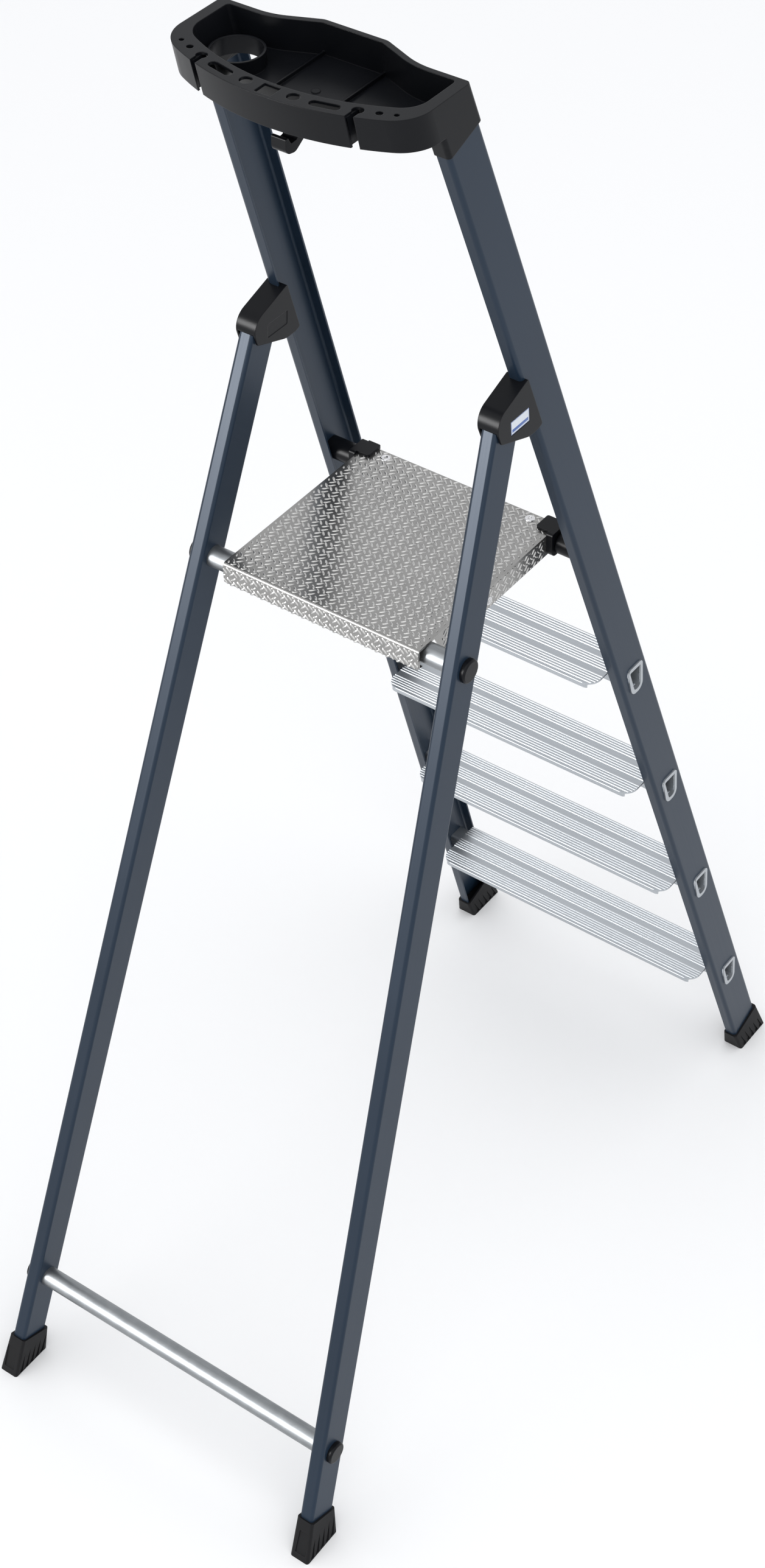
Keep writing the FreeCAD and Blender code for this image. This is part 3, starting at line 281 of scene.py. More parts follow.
@dataclass(frozen=True)
class DrawnAlloy:
    """Bare extruded aluminium, drawn along X: cool grooves between ribs whose tops carry a painted
    highlight.
    """

    name: str
    first_tread: float = 0.199
    step_pitch: float = 0.225
    plate_drop: float = 0.0002
    dark: tuple = tone(0.39, 0.415, 0.44)
    light: tuple = tone(0.50, 0.525, 0.55)
    # Painted highlight colour of the rib tops.
    crest_highlight: tuple = tone(0.84, 0.86, 0.88)

    def material(self) -> bpy.types.Material:
        """Fine die lines along the length, cloudy tone, and a painted highlight on the crests: lighter,
        less metallic rib tops.

        Returns:
            The material.
        """
        recipe = Recipe(self.name)
        x, y, z = recipe.axes()
        lines = recipe.noise(recipe.vector(x * 2.5, y * 900.0, z * 900.0), 1.0, 3.0)
        clouds = recipe.noise(recipe.vector(x * 9.0, y * 30.0, z * 30.0), 1.0, 3.0)
        amount = (lines * 0.6 + clouds * 0.5 - 0.05).clamped()
        # Painted highlight: the top band of each tread, the rib crests, turns lighter and less metallic,
        # standing in for the lamps' light on them.
        level = ((z - self.first_tread) / self.step_pitch + 0.5).fraction() * self.step_pitch
        crest = level.above(self.step_pitch / 2 - self.plate_drop)
        normal = recipe.relief(lines, 0.00004, 0.35, recipe.eased(0.00015))
        return recipe.finish({
            "Base Color": recipe.blend(crest, recipe.blend(amount, self.dark, self.light), self.crest_highlight),
            "Metallic": 0.85 - crest * 0.35, "Roughness": clouds * 0.10 + lines * 0.06 + 0.32,
            "Normal": normal})


@dataclass(frozen=True)
class RimAlloy:
    """Bright rolled aluminium of the step tubes' rims and tabs."""

    name: str
    dark: tuple = tone(0.62, 0.66, 0.70)
    light: tuple = tone(0.86, 0.89, 0.92)

    def material(self) -> bpy.types.Material:
        """Small scuffs on a bright surface.

        Returns:
            The material.
        """
        recipe = Recipe(self.name)
        scuffs = recipe.noise(recipe.place(), 220.0, 4.0, 0.6)
        normal = recipe.relief(scuffs, 0.00005, 0.4, recipe.eased(0.0003))
        return recipe.finish({
            "Base Color": recipe.blend(scuffs, self.dark, self.light), "Metallic": 0.85,
            "Roughness": scuffs * 0.18 + 0.18, "Normal": normal})


@dataclass(frozen=True)
class RolledSheet:
    """Bright rolled aluminium sheet of the platform, slightly warm, with rolling lines."""

    name: str
    dark: tuple = tone(0.255, 0.252, 0.245)
    light: tuple = tone(0.365, 0.360, 0.350)

    def material(self) -> bpy.types.Material:
        """Rolling lines along Y and small dull patches.

        Returns:
            The material.
        """
        recipe = Recipe(self.name)
        x, y, z = recipe.axes()
        lines = recipe.noise(recipe.vector(x * 500.0, y * 14.0, z * 90.0), 1.0, 3.0)
        patches = recipe.noise(recipe.place(), 45.0, 4.0)
        amount = (lines * 0.5 + patches * 0.8 - 0.15).clamped()
        normal = recipe.relief(lines * 0.5 + patches * 0.5, 0.00005, 0.30, recipe.eased(0.0004))
        return recipe.finish({
            "Base Color": recipe.blend(amount, self.dark, self.light), "Metallic": 0.92,
            "Roughness": patches * 0.12 + lines * 0.06 + 0.15, "Normal": normal})


@dataclass(frozen=True)
class ZincPlate:
    """Zinc-plated steel tube, semi-bright, with a faint cloudy spangle."""

    name: str
    dark: tuple = tone(0.19, 0.20, 0.21)
    light: tuple = tone(0.32, 0.335, 0.345)

    def material(self) -> bpy.types.Material:
        """Spangle, drawing lines along X and dull clouds.

        Returns:
            The material.
        """
        recipe = Recipe(self.name)
        x, y, z = recipe.axes()
        lines = recipe.noise(recipe.vector(x * 4.0, y * 600.0, z * 600.0), 1.0, 2.0)
        clouds = recipe.noise(recipe.place(), 60.0, 4.0)
        amount = (clouds * 0.9 + lines * 0.4 - 0.15).clamped()
        normal = recipe.relief(lines * 0.5 + clouds * 0.5, 0.00004, 0.4, recipe.eased(0.0004))
        return recipe.finish({
            "Base Color": recipe.blend(amount, self.dark, self.light), "Metallic": 0.95,
            "Roughness": clouds * 0.12 + 0.36, "Normal": normal})


@dataclass(frozen=True)
class BrightSteel:
    """Bright turned steel of rivets and pins."""

    name: str
    dark: tuple = tone(0.55, 0.55, 0.56)
    light: tuple = tone(0.80, 0.80, 0.81)

    def material(self) -> bpy.types.Material:
        """Polished metal with small scuffs.

        Returns:
            The material.
        """
        recipe = Recipe(self.name)
        scuffs = recipe.noise(recipe.place(), 260.0, 4.0, 0.6)
        normal = recipe.relief(scuffs, 0.00006, 0.4, recipe.eased(0.0003))
        return recipe.finish({
            "Base Color": recipe.blend(scuffs, self.dark, self.light), "Metallic": 1.0,
            "Roughness": scuffs * 0.2 + 0.12, "Normal": normal})


@dataclass(frozen=True)
class MouldedPlastic:
    """Black moulded plastic: fine spark-eroded grain, softened edges."""

    name: str
    dark: tuple = tone(0.0030, 0.0034, 0.0045)
    light: tuple = tone(0.0065, 0.0072, 0.0092)
    roughness: float = 0.28
    grain: float = 1500.0
    edge: float = 0.0012

    def material(self) -> bpy.types.Material:
        """Grain, faint flow marks and rubbed tone.

        Returns:
            The material.
        """
        recipe = Recipe(self.name)
        pores = recipe.noise(recipe.place(), self.grain, 2.0, 0.6)
        flow = recipe.noise(recipe.place(), 14.0, 3.0)
        normal = recipe.relief(pores, 0.00010, 0.30, recipe.eased(self.edge))
        return recipe.finish({
            "Base Color": recipe.blend(flow, self.dark, self.light),
            "Roughness": pores * 0.08 + flow * 0.12 + self.roughness - 0.06,
            "Specular IOR Level": 0.13, "Normal": normal})


@dataclass(frozen=True)
class LabelFilm:
    """Blank printed film: a pale field inside a thin blue edge, with a blue foot band."""

    name: str
    middle_y: float
    middle_z: float
    width: float
    height: float

    def material(self) -> bpy.types.Material:
        """Pale field, blue border and band; nothing is written on it.

        Returns:
            The material.
        """
        recipe = Recipe(self.name)
        _, y, z = recipe.axes()
        side = abs(y - self.middle_y) / (self.width / 2.0)
        rise = (z - self.middle_z) / (self.height / 2.0)
        border = (side.above(0.94) + abs(rise).above(0.88)).clamped()
        band = (0.0 - rise).above(0.25) * (0.88 - side).above(0.0) * (0.72 + rise).above(0.0)
        mottle = recipe.noise(recipe.place(), 300.0, 2.0)
        pale = recipe.blend(mottle, tone(0.56, 0.60, 0.66), tone(0.66, 0.70, 0.75))
        return recipe.finish({
            "Base Color": recipe.blend((border * 0.6 + band).clamped(), pale, tone(0.035, 0.10, 0.34)),
            "Roughness": mottle * 0.1 + 0.25})


class Finish(Enum):
    """The ladder's finishes."""

    RAIL = SlateCoat("slate_rail", 0.348, 0.055)
    LEG = SlateCoat("slate_leg", -0.368, 0.058)
    TREAD = DrawnAlloy("drawn_alloy")
    RIM = RimAlloy("rim_alloy")
    SHEET = RolledSheet("chequer_alloy")
    # Painted highlight: the raised bars wear a lighter copy of the sheet's finish, standing in for the
    # light they catch.
    BAR = RolledSheet("chequer_bar_painted_highlight", tone(0.45, 0.445, 0.435), tone(0.62, 0.615, 0.60))
    ZINC = ZincPlate("zinc_plate")
    STEEL = BrightSteel("bright_steel")
    PLASTIC = MouldedPlastic("moulded_black")
    BLOCK = MouldedPlastic("fitting_black", edge=0.0007)
    BOOT = MouldedPlastic("boot_black", tone(0.006, 0.006, 0.007), tone(0.012, 0.012, 0.013),
                          0.48, 900.0, 0.0008)


class Wardrobe:
    """Makes each material once and puts it on objects."""

    def __init__(self) -> None:
        """Start with nothing made."""
        self.made: dict[str, bpy.types.Material] = {}

    def get(self, finish: Union[Finish, LabelFilm]) -> bpy.types.Material:
        """The material of a finish, made at its first use.

        Args:
            finish: the finish.

        Returns:
            Its material.
        """
        spec = finish.value if isinstance(finish, Finish) else finish
        if spec.name not in self.made:
            self.made[spec.name] = spec.material()
        return self.made[spec.name]

    def dress(self, piece: bpy.types.Object, finish: Union[Finish, LabelFilm]) -> None:
        """Give a piece one finish all over.

        Args:
            piece: the object to dress.
            finish: what it wears.
        """
        material = self.get(finish)
        if not piece.data.materials:
            piece.data.materials.append(material)
        for number in range(len(piece.data.materials)):
            piece.data.materials[number] = material
        for slot in piece.material_slots:
            slot.material = material


# ------------------------------------------------------------------ workshop
class Workshop:
    """Small steps of hand modelling, each leaving the piece active and in object mode."""

    @staticmethod
    def clear() -> None:
        """Select nothing."""
        if bpy.context.object and bpy.context.object.mode != "OBJECT":
            bpy.ops.object.mode_set(mode="OBJECT")
        bpy.ops.object.select_all(action="DESELECT")

    @staticmethod
    def pick(piece: bpy.types.Object) -> None:
        """Select one piece and make it active.

        Args:
            piece: the object.
        """
        Workshop.clear()
        piece.select_set(True)
        bpy.context.view_layer.objects.active = piece

    @staticmethod
    def unpick(piece: bpy.types.Object, mode: str = "FACE") -> None:
        """Clear a mesh's own selection, and leave it in object mode.

        Args:
            piece: the object.
            mode: what is selected next: FACE, EDGE or VERT.
        """
        Workshop.pick(piece)
        bpy.ops.object.mode_set(mode="EDIT")
        bpy.ops.mesh.select_mode(type=mode)
        bpy.ops.mesh.select_all(action="DESELECT")
        bpy.ops.object.mode_set(mode="OBJECT")

    @staticmethod
    def choose_faces(piece: bpy.types.Object, wanted: Callable[[bpy.types.MeshPolygon], bool]) -> None:
        """Select some faces and enter edit mode.

        Args:
            piece: the object.
            wanted: tells whether a face is selected.
        """
        Workshop.unpick(piece)
        for polygon in piece.data.polygons:
            polygon.select = bool(wanted(polygon))
        bpy.ops.object.mode_set(mode="EDIT")

    @staticmethod
    def done(piece: bpy.types.Object, name: str, smooth: float = 35.0) -> bpy.types.Object:
        """Name a piece, put its place into its mesh and shade it.

        Args:
            piece: the object to close.
            name: its name.
            smooth: angle below which edges are shaded smooth, in degrees.

        Returns:
            The same object, at the origin.
        """
        Workshop.pick(piece)
        bpy.ops.object.transform_apply(location=True, rotation=True, scale=True)
        bpy.ops.object.shade_smooth_by_angle(angle=math.radians(smooth))
        piece.name = name
        piece.data.name = name
        return piece

    @staticmethod
    def apply(piece: bpy.types.Object, kind: str, **settings: object) -> None:
        """Add one modifier and apply it.

        Args:
            piece: the object.
            kind: the modifier's type.
            settings: its properties.
        """
        Workshop.pick(piece)
        modifier = piece.modifiers.new(kind.lower(), kind)
        for key, value in settings.items():
            setattr(modifier, key, value)
        bpy.ops.object.modifier_apply(modifier=modifier.name)

    @staticmethod
    def join(pieces: Sequence[bpy.types.Object]) -> bpy.types.Object:
        """Join pieces into the first.

        Args:
            pieces: the objects to join.

        Returns:
            The first of them, which holds them all.
        """
        Workshop.clear()
        for piece in pieces:
            piece.select_set(True)
        bpy.context.view_layer.objects.active = pieces[0]
        bpy.ops.object.join()
        return pieces[0]

    @staticmethod
    def copy(piece: bpy.types.Object) -> bpy.types.Object:
        """Duplicate of a piece, with its own mesh.

        Args:
            piece: the object.

        Returns:
            The duplicate.
        """
        Workshop.pick(piece)
        bpy.ops.object.duplicate(linked=False)
        return bpy.context.object

    @staticmethod
    def trim(piece: bpy.types.Object, point: Vector, normal: Vector) -> None:
        """Cut away what lies beyond a plane and close the cuts.

        Args:
            piece: the object.
            point: a point of the plane.
            normal: the direction that is cut away.
        """
        Workshop.unpick(piece)
        bpy.ops.object.mode_set(mode="EDIT")
        bpy.ops.mesh.select_all(action="SELECT")
        bpy.ops.mesh.bisect(plane_co=point, plane_no=normal, clear_outer=True, use_fill=True)
        bpy.ops.object.mode_set(mode="OBJECT")

    @staticmethod
    def outward(piece: bpy.types.Object) -> None:
        """Turn every face outwards.

        Args:
            piece: the object.
        """
        Workshop.unpick(piece)
        bpy.ops.object.mode_set(mode="EDIT")
        bpy.ops.mesh.select_all(action="SELECT")
        bpy.ops.mesh.normals_make_consistent(inside=False)
        bpy.ops.object.mode_set(mode="OBJECT")


# ------------------------------------------------------------------ chequer plate
@dataclass
class ChequerPlate:
    """Raised bars on the platform's top and flanges."""

    wardrobe: Wardrobe
    lattice: float = 0.014
    bar_length: float = 0.0094
    bar_width: float = 0.0031
    bar_height: float = 0.0008
    sink: float = 0.0002
    pair_offset: tuple[float, float] = (0.0054, 0.0028)
    edge: float = 0.0032
    corner: float = 0.0045
    strip_margin: float = 0.0004
    rear_margin: float = 0.0006
    side_front: float = 0.032
    side_rear: float = 0.044
    rises: tuple[tuple[float, float, float], ...] = ((0.45, 0.86, 0.72), (0.55, 0.66, 0.38))

    def bar(self) -> bpy.types.Object:
        """One bar: a flat oval, drawn up and in to a low crown.

        Returns:
            The bar, standing on Z = 0.
        """
        bpy.ops.mesh.primitive_circle_add(vertices=10, radius=0.5, fill_type="NGON")
        piece = bpy.context.object
        piece.scale = (self.bar_length, self.bar_width, 1.0)
        bpy.ops.object.transform_apply(scale=True)
        Workshop.choose_faces(piece, lambda face: True)
        rise = self.bar_height + self.sink
        for share, along, across in self.rises:
            bpy.ops.mesh.extrude_region_move(TRANSFORM_OT_translate={"value": (0, 0, rise * share)})
            bpy.ops.transform.resize(value=(along, across, 1.0))
        bpy.ops.object.mode_set(mode="OBJECT")
        return piece

    def cell(self) -> bpy.types.Object:
        """Two bars one way and two across them, in one square of the lattice.

        Returns:
            The square, as one object.
        """
        half = self.lattice / 2.0
        along, across = self.pair_offset
        places = [(-45.0, along / 2, across / 2), (-45.0, -along / 2, -across / 2),
                  (45.0, half + across / 2, half - along / 2), (45.0, half - across / 2, half + along / 2)]
        first = self.bar()
        bars = []
        for angle, x, y in places:
            piece = Workshop.copy(first)
            piece.rotation_euler = (0.0, 0.0, math.radians(angle))
            piece.location = (x, y, 0.0)
            bars.append(piece)
        bpy.data.objects.remove(first)
        cell = Workshop.join(bars)
        Workshop.pick(cell)
        bpy.ops.object.transform_apply(location=True, rotation=True, scale=True)
        return cell

    def field(self, width: float, depth: float, name: str) -> bpy.types.Object:
        """A level field of bars about the origin, cut square at its edges.

        Args:
            width: size along X, in metres.
            depth: size along Y, in metres.
            name: the piece's name.

        Returns:
            The field, with its underside at Z = 0.
        """
        piece = self.cell()
        columns = math.ceil(width / self.lattice) + 2
        rows = math.ceil(depth / self.lattice) + 2
        Workshop.apply(piece, "ARRAY", count=columns, use_relative_offset=False,
                       use_constant_offset=True, constant_offset_displace=(self.lattice, 0, 0))
        Workshop.apply(piece, "ARRAY", count=rows, use_relative_offset=False,
                       use_constant_offset=True, constant_offset_displace=(0, self.lattice, 0))
        piece.location = (-(columns - 1) * self.lattice / 2, -(rows - 1) * self.lattice / 2, 0.0)
        bpy.ops.object.transform_apply(location=True)
        for axis, limit in ((0, width / 2), (1, depth / 2)):
            for sign in (-1, 1):
                normal = Vector((0.0, 0.0, 0.0))
                normal[axis] = float(sign)
                Workshop.trim(piece, normal * limit, normal)
        piece.name = name
        return piece

    def round_corners(self, piece: bpy.types.Object, half: float, foot: float) -> None:
        """Trim a field along chords of its two rounded lower corners.

        Args:
            piece: the field, level, with its lower edge towards +Y.
            half: half its width, in metres.
            foot: distance from its middle to its lower edge.
        """
        for sign in (-1.0, 1.0):
            for angle in (22.5, 67.5):
                slant = math.radians(angle)
                normal = Vector((sign * math.cos(slant), math.sin(slant), 0.0))
                middle = Vector((sign * (half - self.corner), foot - self.corner, 0.0))
                Workshop.trim(piece, middle + normal * self.corner, normal)

    def build(self) -> list[bpy.types.Object]:
        """Bars on the top, the two side flanges and the rear flange.

        Returns:
            The four fields.
        """
        low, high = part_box("platform_plate")
        top = high.z - self.sink
        mid_x, mid_y = (low.x + high.x) / 2, (low.y + high.y) / 2
        drop = high.z - low.z
        width, depth = high.x - low.x, high.y - low.y
        made = []
        field = self.field(width - 2 * self.edge, depth - 2 * self.edge, "chequer_top")
        field.location = (mid_x, mid_y, top)
        made.append(field)
        strip_z = high.z - self.edge - (drop - self.edge) / 2 + self.strip_margin
        strip = drop - self.edge - 2 * self.strip_margin
        rear_width = width - 2 * self.rear_margin
        rear = self.field(rear_width, strip, "chequer_rear")
        self.round_corners(rear, rear_width / 2, strip / 2)
        rear.rotation_euler = (math.radians(-90.0), 0.0, 0.0)
        rear.location = (mid_x, high.y - self.sink, strip_z)
        made.append(rear)
        length = depth - self.side_front - self.side_rear
        for sign, name in ((-1, "chequer_left"), (1, "chequer_right")):
            side = self.field(strip, length, name)
            side.rotation_euler = (0.0, sign * math.radians(90.0), 0.0)
            edge_x = high.x if sign > 0 else low.x
            side.location = (edge_x - sign * self.sink, low.y + self.side_front + length / 2, strip_z)
            made.append(side)
        for piece in made:
            Workshop.done(piece, piece.name, 50.0)
            Workshop.outward(piece)
            self.wardrobe.dress(piece, Finish.BAR)
            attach(piece, "platform")
        return made


# ------------------------------------------------------------------ rivets
@dataclass
class Rivets:
    """Turned rivet heads that stand for the plain ones of the frame."""

    wardrobe: Wardrobe
    corners: int = 40
    top_head: float = 0.0016
    side_head: float = 0.00096
    dome: tuple[tuple[float, float], ...] = (
        (1.0, -0.0002), (1.0, 0.0003), (0.93, 0.0010), (0.75, 0.0015),
        (0.52, 0.0016), (0.42, 0.0012), (0.30, 0.0003), (0.12, 0.0001))
    flat: tuple[tuple[float, float], ...] = (
        (1.0, -0.0002), (1.0, 0.0004), (0.88, 0.0009), (0.60, 0.0010), (0.50, 0.0006), (0.2, 0.0005))

    def head(self, profile: Sequence[tuple[float, float]], radius: float, name: str) -> bpy.types.Object:
        """Draw a disc up and in, ring by ring, about Z.

        Args:
            profile: rings from the foot up, each its share of the radius and its height.
            radius: the head's radius.
            name: the piece's name.

        Returns:
            The head, standing on Z = 0.
        """
        rings = [(share * radius, height) for share, height in profile]
        bpy.ops.mesh.primitive_circle_add(vertices=self.corners, radius=rings[0][0], fill_type="NGON")
        piece = bpy.context.object
        piece.location.z = rings[0][1]
        bpy.ops.object.transform_apply(location=True)
        Workshop.choose_faces(piece, lambda face: True)
        for (size, height), (next_size, next_height) in zip(rings, rings[1:]):
            bpy.ops.mesh.extrude_region_move(TRANSFORM_OT_translate={"value": (0, 0, next_height - height)})
            bpy.ops.transform.resize(value=(next_size / size, next_size / size, 1.0),
                                     center_override=(0.0, 0.0, next_height))
        bpy.ops.object.mode_set(mode="OBJECT")
        piece.name = name
        return piece

    def build(self) -> list[bpy.types.Object]:
        """Two dimpled heads on the top, two flat heads on the flanges.

        Returns:
            The four heads.
        """
        made = []
        for side, sign in (("left", -1), ("right", 1)):
            low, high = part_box(f"platform_rivet_{side}")
            centre = (low + high) / 2
            piece = self.head(self.dome, (high.x - low.x) / 2, f"platform_rivet_head_{side}")
            piece.location = (centre.x, centre.y, high.z - self.top_head)
            made.append(piece)
            low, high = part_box(f"flange_rivet_{side}")
            centre = (low + high) / 2
            piece = self.head(self.flat, (high.y - low.y) / 2, f"flange_rivet_head_{side}")
            piece.rotation_euler = (0.0, sign * math.radians(90.0), 0.0)
            face = (high.x if sign > 0 else low.x) - sign * self.side_head
            piece.location = (face, centre.y, centre.z)
            made.append(piece)
        for piece in made:
            Workshop.done(piece, piece.name, 60.0)
            Workshop.outward(piece)
            self.wardrobe.dress(piece, Finish.STEEL)
            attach(piece, "platform")
        return made


# ------------------------------------------------------------------ step tubes
@dataclass
class StepTubeEnds:
    """Rolled rim and folded tab at each end of the step tubes."""

    wardrobe: Wardrobe
    splay: float = 0.055
    bead: float = 0.0016
    plate: float = 0.003
    drop: float = 0.036
    top_depth: float = 0.0270
    foot_depth: float = 0.0175
    setback: float = 0.0078
    sunk: float = 0.0019
    corners: tuple[float, ...] = (0.0035, 0.0075, 0.0075, 0.0040)
    steps: int = 6
    tab_size: tuple[float, float] = (0.014, 0.0075)
    tab_folds: tuple[tuple[float, float], ...] = ((0.0025, 0.0030), (0.0006, 0.0040))
    tab_thick: float = 0.0012
    tab_edge: float = 0.0004
    tab_place: tuple[float, float, float] = (0.012, 0.0090, 0.0045)

    def outline(self, low: Vector, high: Vector) -> list[tuple[float, float]]:
        """Rounded outline of a step tube.

        Args:
            low: the lowest corner of its tread's box.
            high: the highest corner.

        Returns:
            Points (y, z), round the tube once.
        """
        top = high.z - self.plate
        front = low.y + self.setback
        points = [(front, top), (front, top - self.drop), (front + self.foot_depth, top - self.drop),
                  (front + self.top_depth, top)]
        rounded = []
        for i, (y, z) in enumerate(points):
            before = Vector(points[i - 1]) - Vector((y, z))
            after = Vector(points[(i + 1) % 4]) - Vector((y, z))
            half = before.angle(after) / 2
            cut = self.corners[i] / math.tan(half)
            start = Vector((y, z)) + before.normalized() * cut
            end = Vector((y, z)) + after.normalized() * cut
            centre = Vector((y, z)) + (before.normalized() + after.normalized()).normalized() * (
                self.corners[i] / math.sin(half))
            for k in range(self.steps + 1):
                share = k / self.steps
                spoke = (start - centre).lerp(end - centre, share).normalized() * self.corners[i]
                rounded.append(tuple(centre + spoke))
        return rounded

    def rim(self, number: int, side: str, sign: int) -> bpy.types.Object:
        """Rolled rim: a round bead swept along the outline, on the rail's outer face.

        Args:
            number: which tread, from the floor.
            side: left or right.
            sign: -1 on the left, 1 on the right.

        Returns:
            The bead.
        """
        low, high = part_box(f"tread_{number}")
        points = self.outline(low, high)
        curve = bpy.data.curves.new(f"step_rim_{number}_{side}", "CURVE")
        curve.dimensions = "3D"
        curve.bevel_depth = self.bead
        curve.bevel_resolution = 3
        spline = curve.splines.new("POLY")
        spline.points.add(len(points) - 1)
        lowest = min(z for _, z in points)
        for point, (y, z) in zip(spline.points, points):
            x = high.x - self.sunk - (z - lowest) * self.splay
            point.co = (sign * x, y, z, 1.0)
        spline.use_cyclic_u = True
        piece = bpy.data.objects.new(curve.name, curve)
        bpy.context.scene.collection.objects.link(piece)
        Workshop.pick(piece)
        bpy.ops.object.convert(target="MESH")
        return Workshop.done(bpy.context.object, f"step_rim_{number}_{side}", 60.0)

    def tab(self, number: int, side: str, sign: int) -> bpy.types.Object:
        """Folded tab standing in the tube's mouth.

        Args:
            number: which tread, from the floor.
            side: left or right.
            sign: -1 on the left, 1 on the right.

        Returns:
            The tab.
        """
        low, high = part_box(f"tread_{number}")
        front = low.y + self.setback
        bpy.ops.mesh.primitive_plane_add(size=1.0)
        piece = bpy.context.object
        piece.scale = (*self.tab_size, 1.0)
        bpy.ops.object.transform_apply(scale=True)
        Workshop.unpick(piece, "EDGE")
        for vertex in piece.data.vertices:
            vertex.select = vertex.co.y > 0
        for edge in piece.data.edges:
            edge.select = all(piece.data.vertices[v].co.y > 0 for v in edge.vertices)
        bpy.ops.object.mode_set(mode="EDIT")
        for along, up in self.tab_folds:
            bpy.ops.mesh.extrude_region_move(TRANSFORM_OT_translate={"value": (0.0, along, up)})
        bpy.ops.object.mode_set(mode="OBJECT")
        Workshop.apply(piece, "SOLIDIFY", thickness=self.tab_thick, offset=0.0)
        Workshop.apply(piece, "BEVEL", width=self.tab_edge, segments=2)
        inward, behind, above = self.tab_place
        piece.location = (sign * (high.x - inward), front + behind, high.z - self.plate - self.drop + above)
        return Workshop.done(piece, f"step_tab_{number}_{side}", 40.0)

    def build(self) -> list[bpy.types.Object]:
        """A rim and a tab at both ends of every tube.

        Returns:
            The rims and the tabs.
        """
        made = []
        for number in range(1, 5):
            for side, sign in (("left", -1), ("right", 1)):
                made.append(self.rim(number, side, sign))
                made.append(self.tab(number, side, sign))
        for piece in made:
            Workshop.outward(piece)
            self.wardrobe.dress(piece, Finish.RIM)
            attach(piece, "front_frame")
        return made


# ------------------------------------------------------------------ tray fins
@dataclass
class TrayFins:
    """Fins under the tool band, one on each side of both keyhole slots."""

    wardrobe: Wardrobe
    slot_x: float = 0.090
    slot_half: float = 0.004
    thick: float = 0.0018
    back_radius: float = 0.284
    apron: float = 0.0022
    bowl_top: float = 0.0225
    bowl_foot: float = 0.0280
    band: float = 0.0028
    depth: float = 0.0345
    lean: float = 0.2
    draft: float = 0.05
    edge: float = 0.0004

    def fin(self, x: float, name: str) -> bpy.types.Object:
        """One fin: a bar, set out between apron and bowl, its foot leaning in with the tray.

        Args:
            x: its middle plane.
            name: the piece's name.

        Returns:
            The finished fin.
        """
        _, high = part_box("tool_tray")
        rear = high.y - self.back_radius + math.sqrt(self.back_radius ** 2 - x ** 2)
        near, far = rear - self.bowl_top, rear - self.apron
        bpy.ops.mesh.primitive_plane_add(size=1.0)
        piece = bpy.context.object
        piece.scale = (self.thick, far - near, 1.0)
        piece.location = (x, (near + far) / 2, high.z - self.band)
        bpy.ops.object.transform_apply(location=True, scale=True)
        drop = self.depth - self.band
        foot_near = rear - self.bowl_foot - self.lean * self.depth
        foot_far = far - (self.lean + self.draft) * self.depth
        Workshop.choose_faces(piece, lambda face: True)
        slide = (foot_near + foot_far - near - far) / 2
        bpy.ops.mesh.extrude_region_move(TRANSFORM_OT_translate={"value": (0, slide, -drop)})
        bpy.ops.transform.resize(value=(1.0, (foot_far - foot_near) / (far - near), 1.0))
        bpy.ops.object.mode_set(mode="OBJECT")
        Workshop.outward(piece)
        Workshop.apply(piece, "BEVEL", width=self.edge, segments=2)
        return Workshop.done(piece, name, 30.0)

    def build(self) -> list[bpy.types.Object]:
        """Two fins at each slot.

        Returns:
            The four fins.
        """
        made = []
        for side, sign in (("left", -1), ("right", 1)):
            for place, step in (("inner", -1), ("outer", 1)):
                x = sign * (self.slot_x + step * (self.slot_half + self.thick / 2))
                made.append(self.fin(x, f"tray_fin_{place}_{side}"))
        for piece in made:
            self.wardrobe.dress(piece, Finish.PLASTIC)
            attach(piece, "front_frame")
        return made


# ------------------------------------------------------------------ label
@dataclass
class BracketLabel:
    """Blank film in the recess on the left hinge bracket's outer face."""

    wardrobe: Wardrobe
    width: float = 0.0325
    height: float = 0.0155
    fore: float = 0.014
    drop: float = 0.008
    splay: float = 0.055
    thick: float = 0.0003
    corner: float = 0.0011
    recess: float = 0.0004

    def build(self) -> list[bpy.types.Object]:
        """Cut the film, round its corners and lay it on the splayed plate.

        Returns:
            The label.
        """
        low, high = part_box("hinge_pin_left")
        pin = (low + high) / 2
        plate_low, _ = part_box("hinge_bracket_left")
        middle_y, middle_z = pin.y - self.fore, pin.z - self.drop
        bpy.ops.mesh.primitive_cube_add(size=1.0)
        piece = bpy.context.object
        piece.scale = (self.thick, self.width, self.height)
        bpy.ops.object.transform_apply(scale=True)
        Workshop.apply(piece, "BEVEL", width=self.corner, segments=3, affect="EDGES", limit_method="NONE")
        reach = plate_low.x + (middle_z - plate_low.z) * self.splay
        piece.rotation_euler = (0.0, math.atan(self.splay), 0.0)
        piece.location = (reach + self.recess - self.thick / 2, middle_y, middle_z)
        Workshop.done(piece, "bracket_label_left", 30.0)
        film = LabelFilm("label_film", middle_y, middle_z, self.width, self.height)
        self.wardrobe.dress(piece, film)
        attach(piece, "front_frame")
        return [piece]


# ------------------------------------------------------------------ frame pieces
@dataclass
class FrameDress:
    """Finishes of the pieces that come with the frame."""

    wardrobe: Wardrobe
    rules: tuple[tuple[str, Finish], ...] = (
        ("front_rail", Finish.RAIL), ("rear_leg", Finish.LEG), ("tread", Finish.TREAD),
        ("platform_plate", Finish.SHEET), ("upper_cross", Finish.ZINC), ("lower_cross", Finish.ZINC),
        ("hinge_pin", Finish.STEEL), ("platform_journal", Finish.STEEL), ("platform_rivet", Finish.STEEL),
        ("flange_rivet", Finish.STEEL), ("front_foot", Finish.BOOT), ("rear_foot", Finish.BOOT),
        ("tool_tray", Finish.PLASTIC), ("hinge_bracket", Finish.PLASTIC))

    def build(self) -> int:
        """Dress every node; what no rule names is a small black fitting.

        Returns:
            How many nodes the frame has.
        """
        for name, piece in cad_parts.items():
            chosen = next((finish for start, finish in self.rules if name.startswith(start)), Finish.BLOCK)
            self.wardrobe.dress(piece, chosen)
        return len(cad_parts)


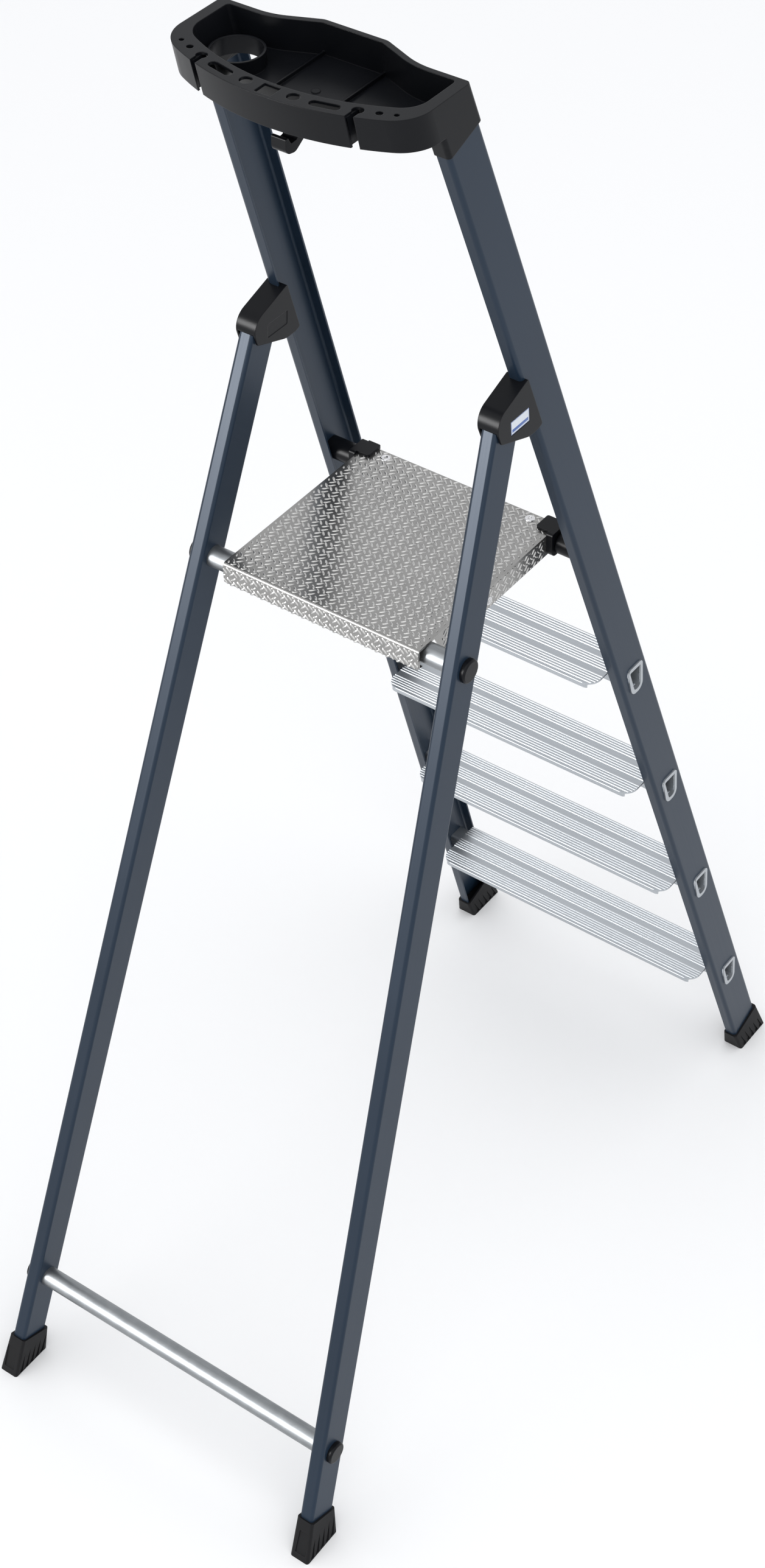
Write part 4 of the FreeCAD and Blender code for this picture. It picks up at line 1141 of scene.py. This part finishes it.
# ------------------------------------------------------------------ studio
@dataclass(frozen=True)
class Lamp:
    """A square soft light, in metres and watts; unlit ones only show as a sheen on surfaces."""

    name: str
    place: tuple[float, float, float]
    aim: tuple[float, float, float]
    size: float
    power: float
    lit: bool = True


@dataclass
class Studio:
    """Camera, floor, soft lights and pale surroundings."""

    position: tuple[float, float, float] = (-1.4757, 1.9942, 3.0297)
    azimuth: float = 217.41
    elevation: float = 42.473
    roll: float = -1.543
    lens: float = 65.56
    shift: tuple[float, float] = (0.01194, -0.0059)
    floor_tone: float = 0.93
    air: float = 1.0
    lamps: tuple[Lamp, ...] = (
        Lamp("overhead", (-0.2, 1.2, 4.2), (0.0, 0.1, 0.9), 3.2, 30.0),
        Lamp("rear_sheen", (1.54, 2.94, 1.75), (0.1, 0.25, 1.2), 1.5, 175.0, lit=False),
        Lamp("left_fill", (-3.0, 3.0, 2.4), (0.2, -0.2, 1.1), 2.6, 20.0))

    def camera(self) -> bpy.types.Object:
        """The view from behind, above and to the left.

        Returns:
            The camera.
        """
        turn, rise = math.radians(self.azimuth), math.radians(self.elevation)
        back = Vector((math.sin(turn) * math.cos(rise), -math.cos(turn) * math.cos(rise), math.sin(rise)))
        right = (-back).cross(Vector((0.0, 0.0, 1.0))).normalized()
        up = right.cross(-back)
        tilt = math.radians(self.roll)
        across = right * math.cos(tilt) + up * math.sin(tilt)
        upward = up * math.cos(tilt) - right * math.sin(tilt)
        data = bpy.data.cameras.new("view")
        data.lens = self.lens
        data.sensor_width = 36.0
        data.shift_x, data.shift_y = self.shift
        data.clip_end = 100.0
        camera = bpy.data.objects.new("view", data)
        bpy.context.scene.collection.objects.link(camera)
        turned = Matrix((across, upward, back)).transposed().to_4x4()
        camera.matrix_world = Matrix.Translation(self.position) @ turned
        bpy.context.scene.camera = camera
        return camera

    def floor(self) -> bpy.types.Object:
        """Wide pale floor.

        Returns:
            The floor.
        """
        bpy.ops.mesh.primitive_plane_add(size=60.0, location=(0.0, 0.0, 0.0))
        floor = bpy.context.object
        floor.name = "floor"
        recipe = Recipe("pale_floor")
        shade = self.floor_tone
        floor.data.materials.append(recipe.finish({
            "Base Color": tone(shade, shade, shade), "Roughness": 0.9, "Specular IOR Level": 0.1}))
        return floor

    def light(self, spec: Lamp) -> None:
        """Hang one lamp and turn it to its aim.

        Args:
            spec: the lamp.
        """
        data = bpy.data.lights.new(spec.name, "AREA")
        data.shape = "SQUARE"
        data.size = spec.size
        data.energy = spec.power
        lamp = bpy.data.objects.new(spec.name, data)
        lamp.visible_camera = False
        lamp.visible_diffuse = spec.lit
        bpy.context.scene.collection.objects.link(lamp)
        lamp.location = spec.place
        aim = Vector(spec.aim) - Vector(spec.place)
        lamp.rotation_euler = aim.to_track_quat("-Z", "Y").to_euler()

    def build(self) -> None:
        """Set the stage."""
        self.camera()
        self.floor()
        for lamp in self.lamps:
            self.light(lamp)
        world = bpy.data.worlds.new("studio_air")
        world.use_nodes = True
        air = world.node_tree.nodes["Background"]
        air.inputs["Color"].default_value = tone(0.97, 0.98, 1.0)
        air.inputs["Strength"].default_value = self.air
        bpy.context.scene.world = world
        view = bpy.context.scene.view_settings
        view.view_transform = "Standard"
        view.look = "None"


# ------------------------------------------------------------------ build
def corners(bounds: object) -> list:
    """Bounds as plain lists of numbers."""
    return [[float(value) for value in corner] for corner in bounds]


def main() -> None:
    """Build the ladder's looks."""
    logging.basicConfig(level=logging.INFO, format="%(name)s: %(message)s")
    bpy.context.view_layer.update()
    Studio().build()
    wardrobe = Wardrobe()
    LOG.info("dressed %d frame pieces", FrameDress(wardrobe).build())
    groups = (ChequerPlate(wardrobe), Rivets(wardrobe), StepTubeEnds(wardrobe), TrayFins(wardrobe),
              BracketLabel(wardrobe))
    for group in groups:
        for piece in group.build():
            LOG.info("%s: %s, %d faces", type(group).__name__, piece.name, len(piece.data.polygons))
    for side in ("left", "right"):
        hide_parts(f"platform_rivet_{side}")
        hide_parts(f"flange_rivet_{side}")


if __name__ == "__main__":
    main()
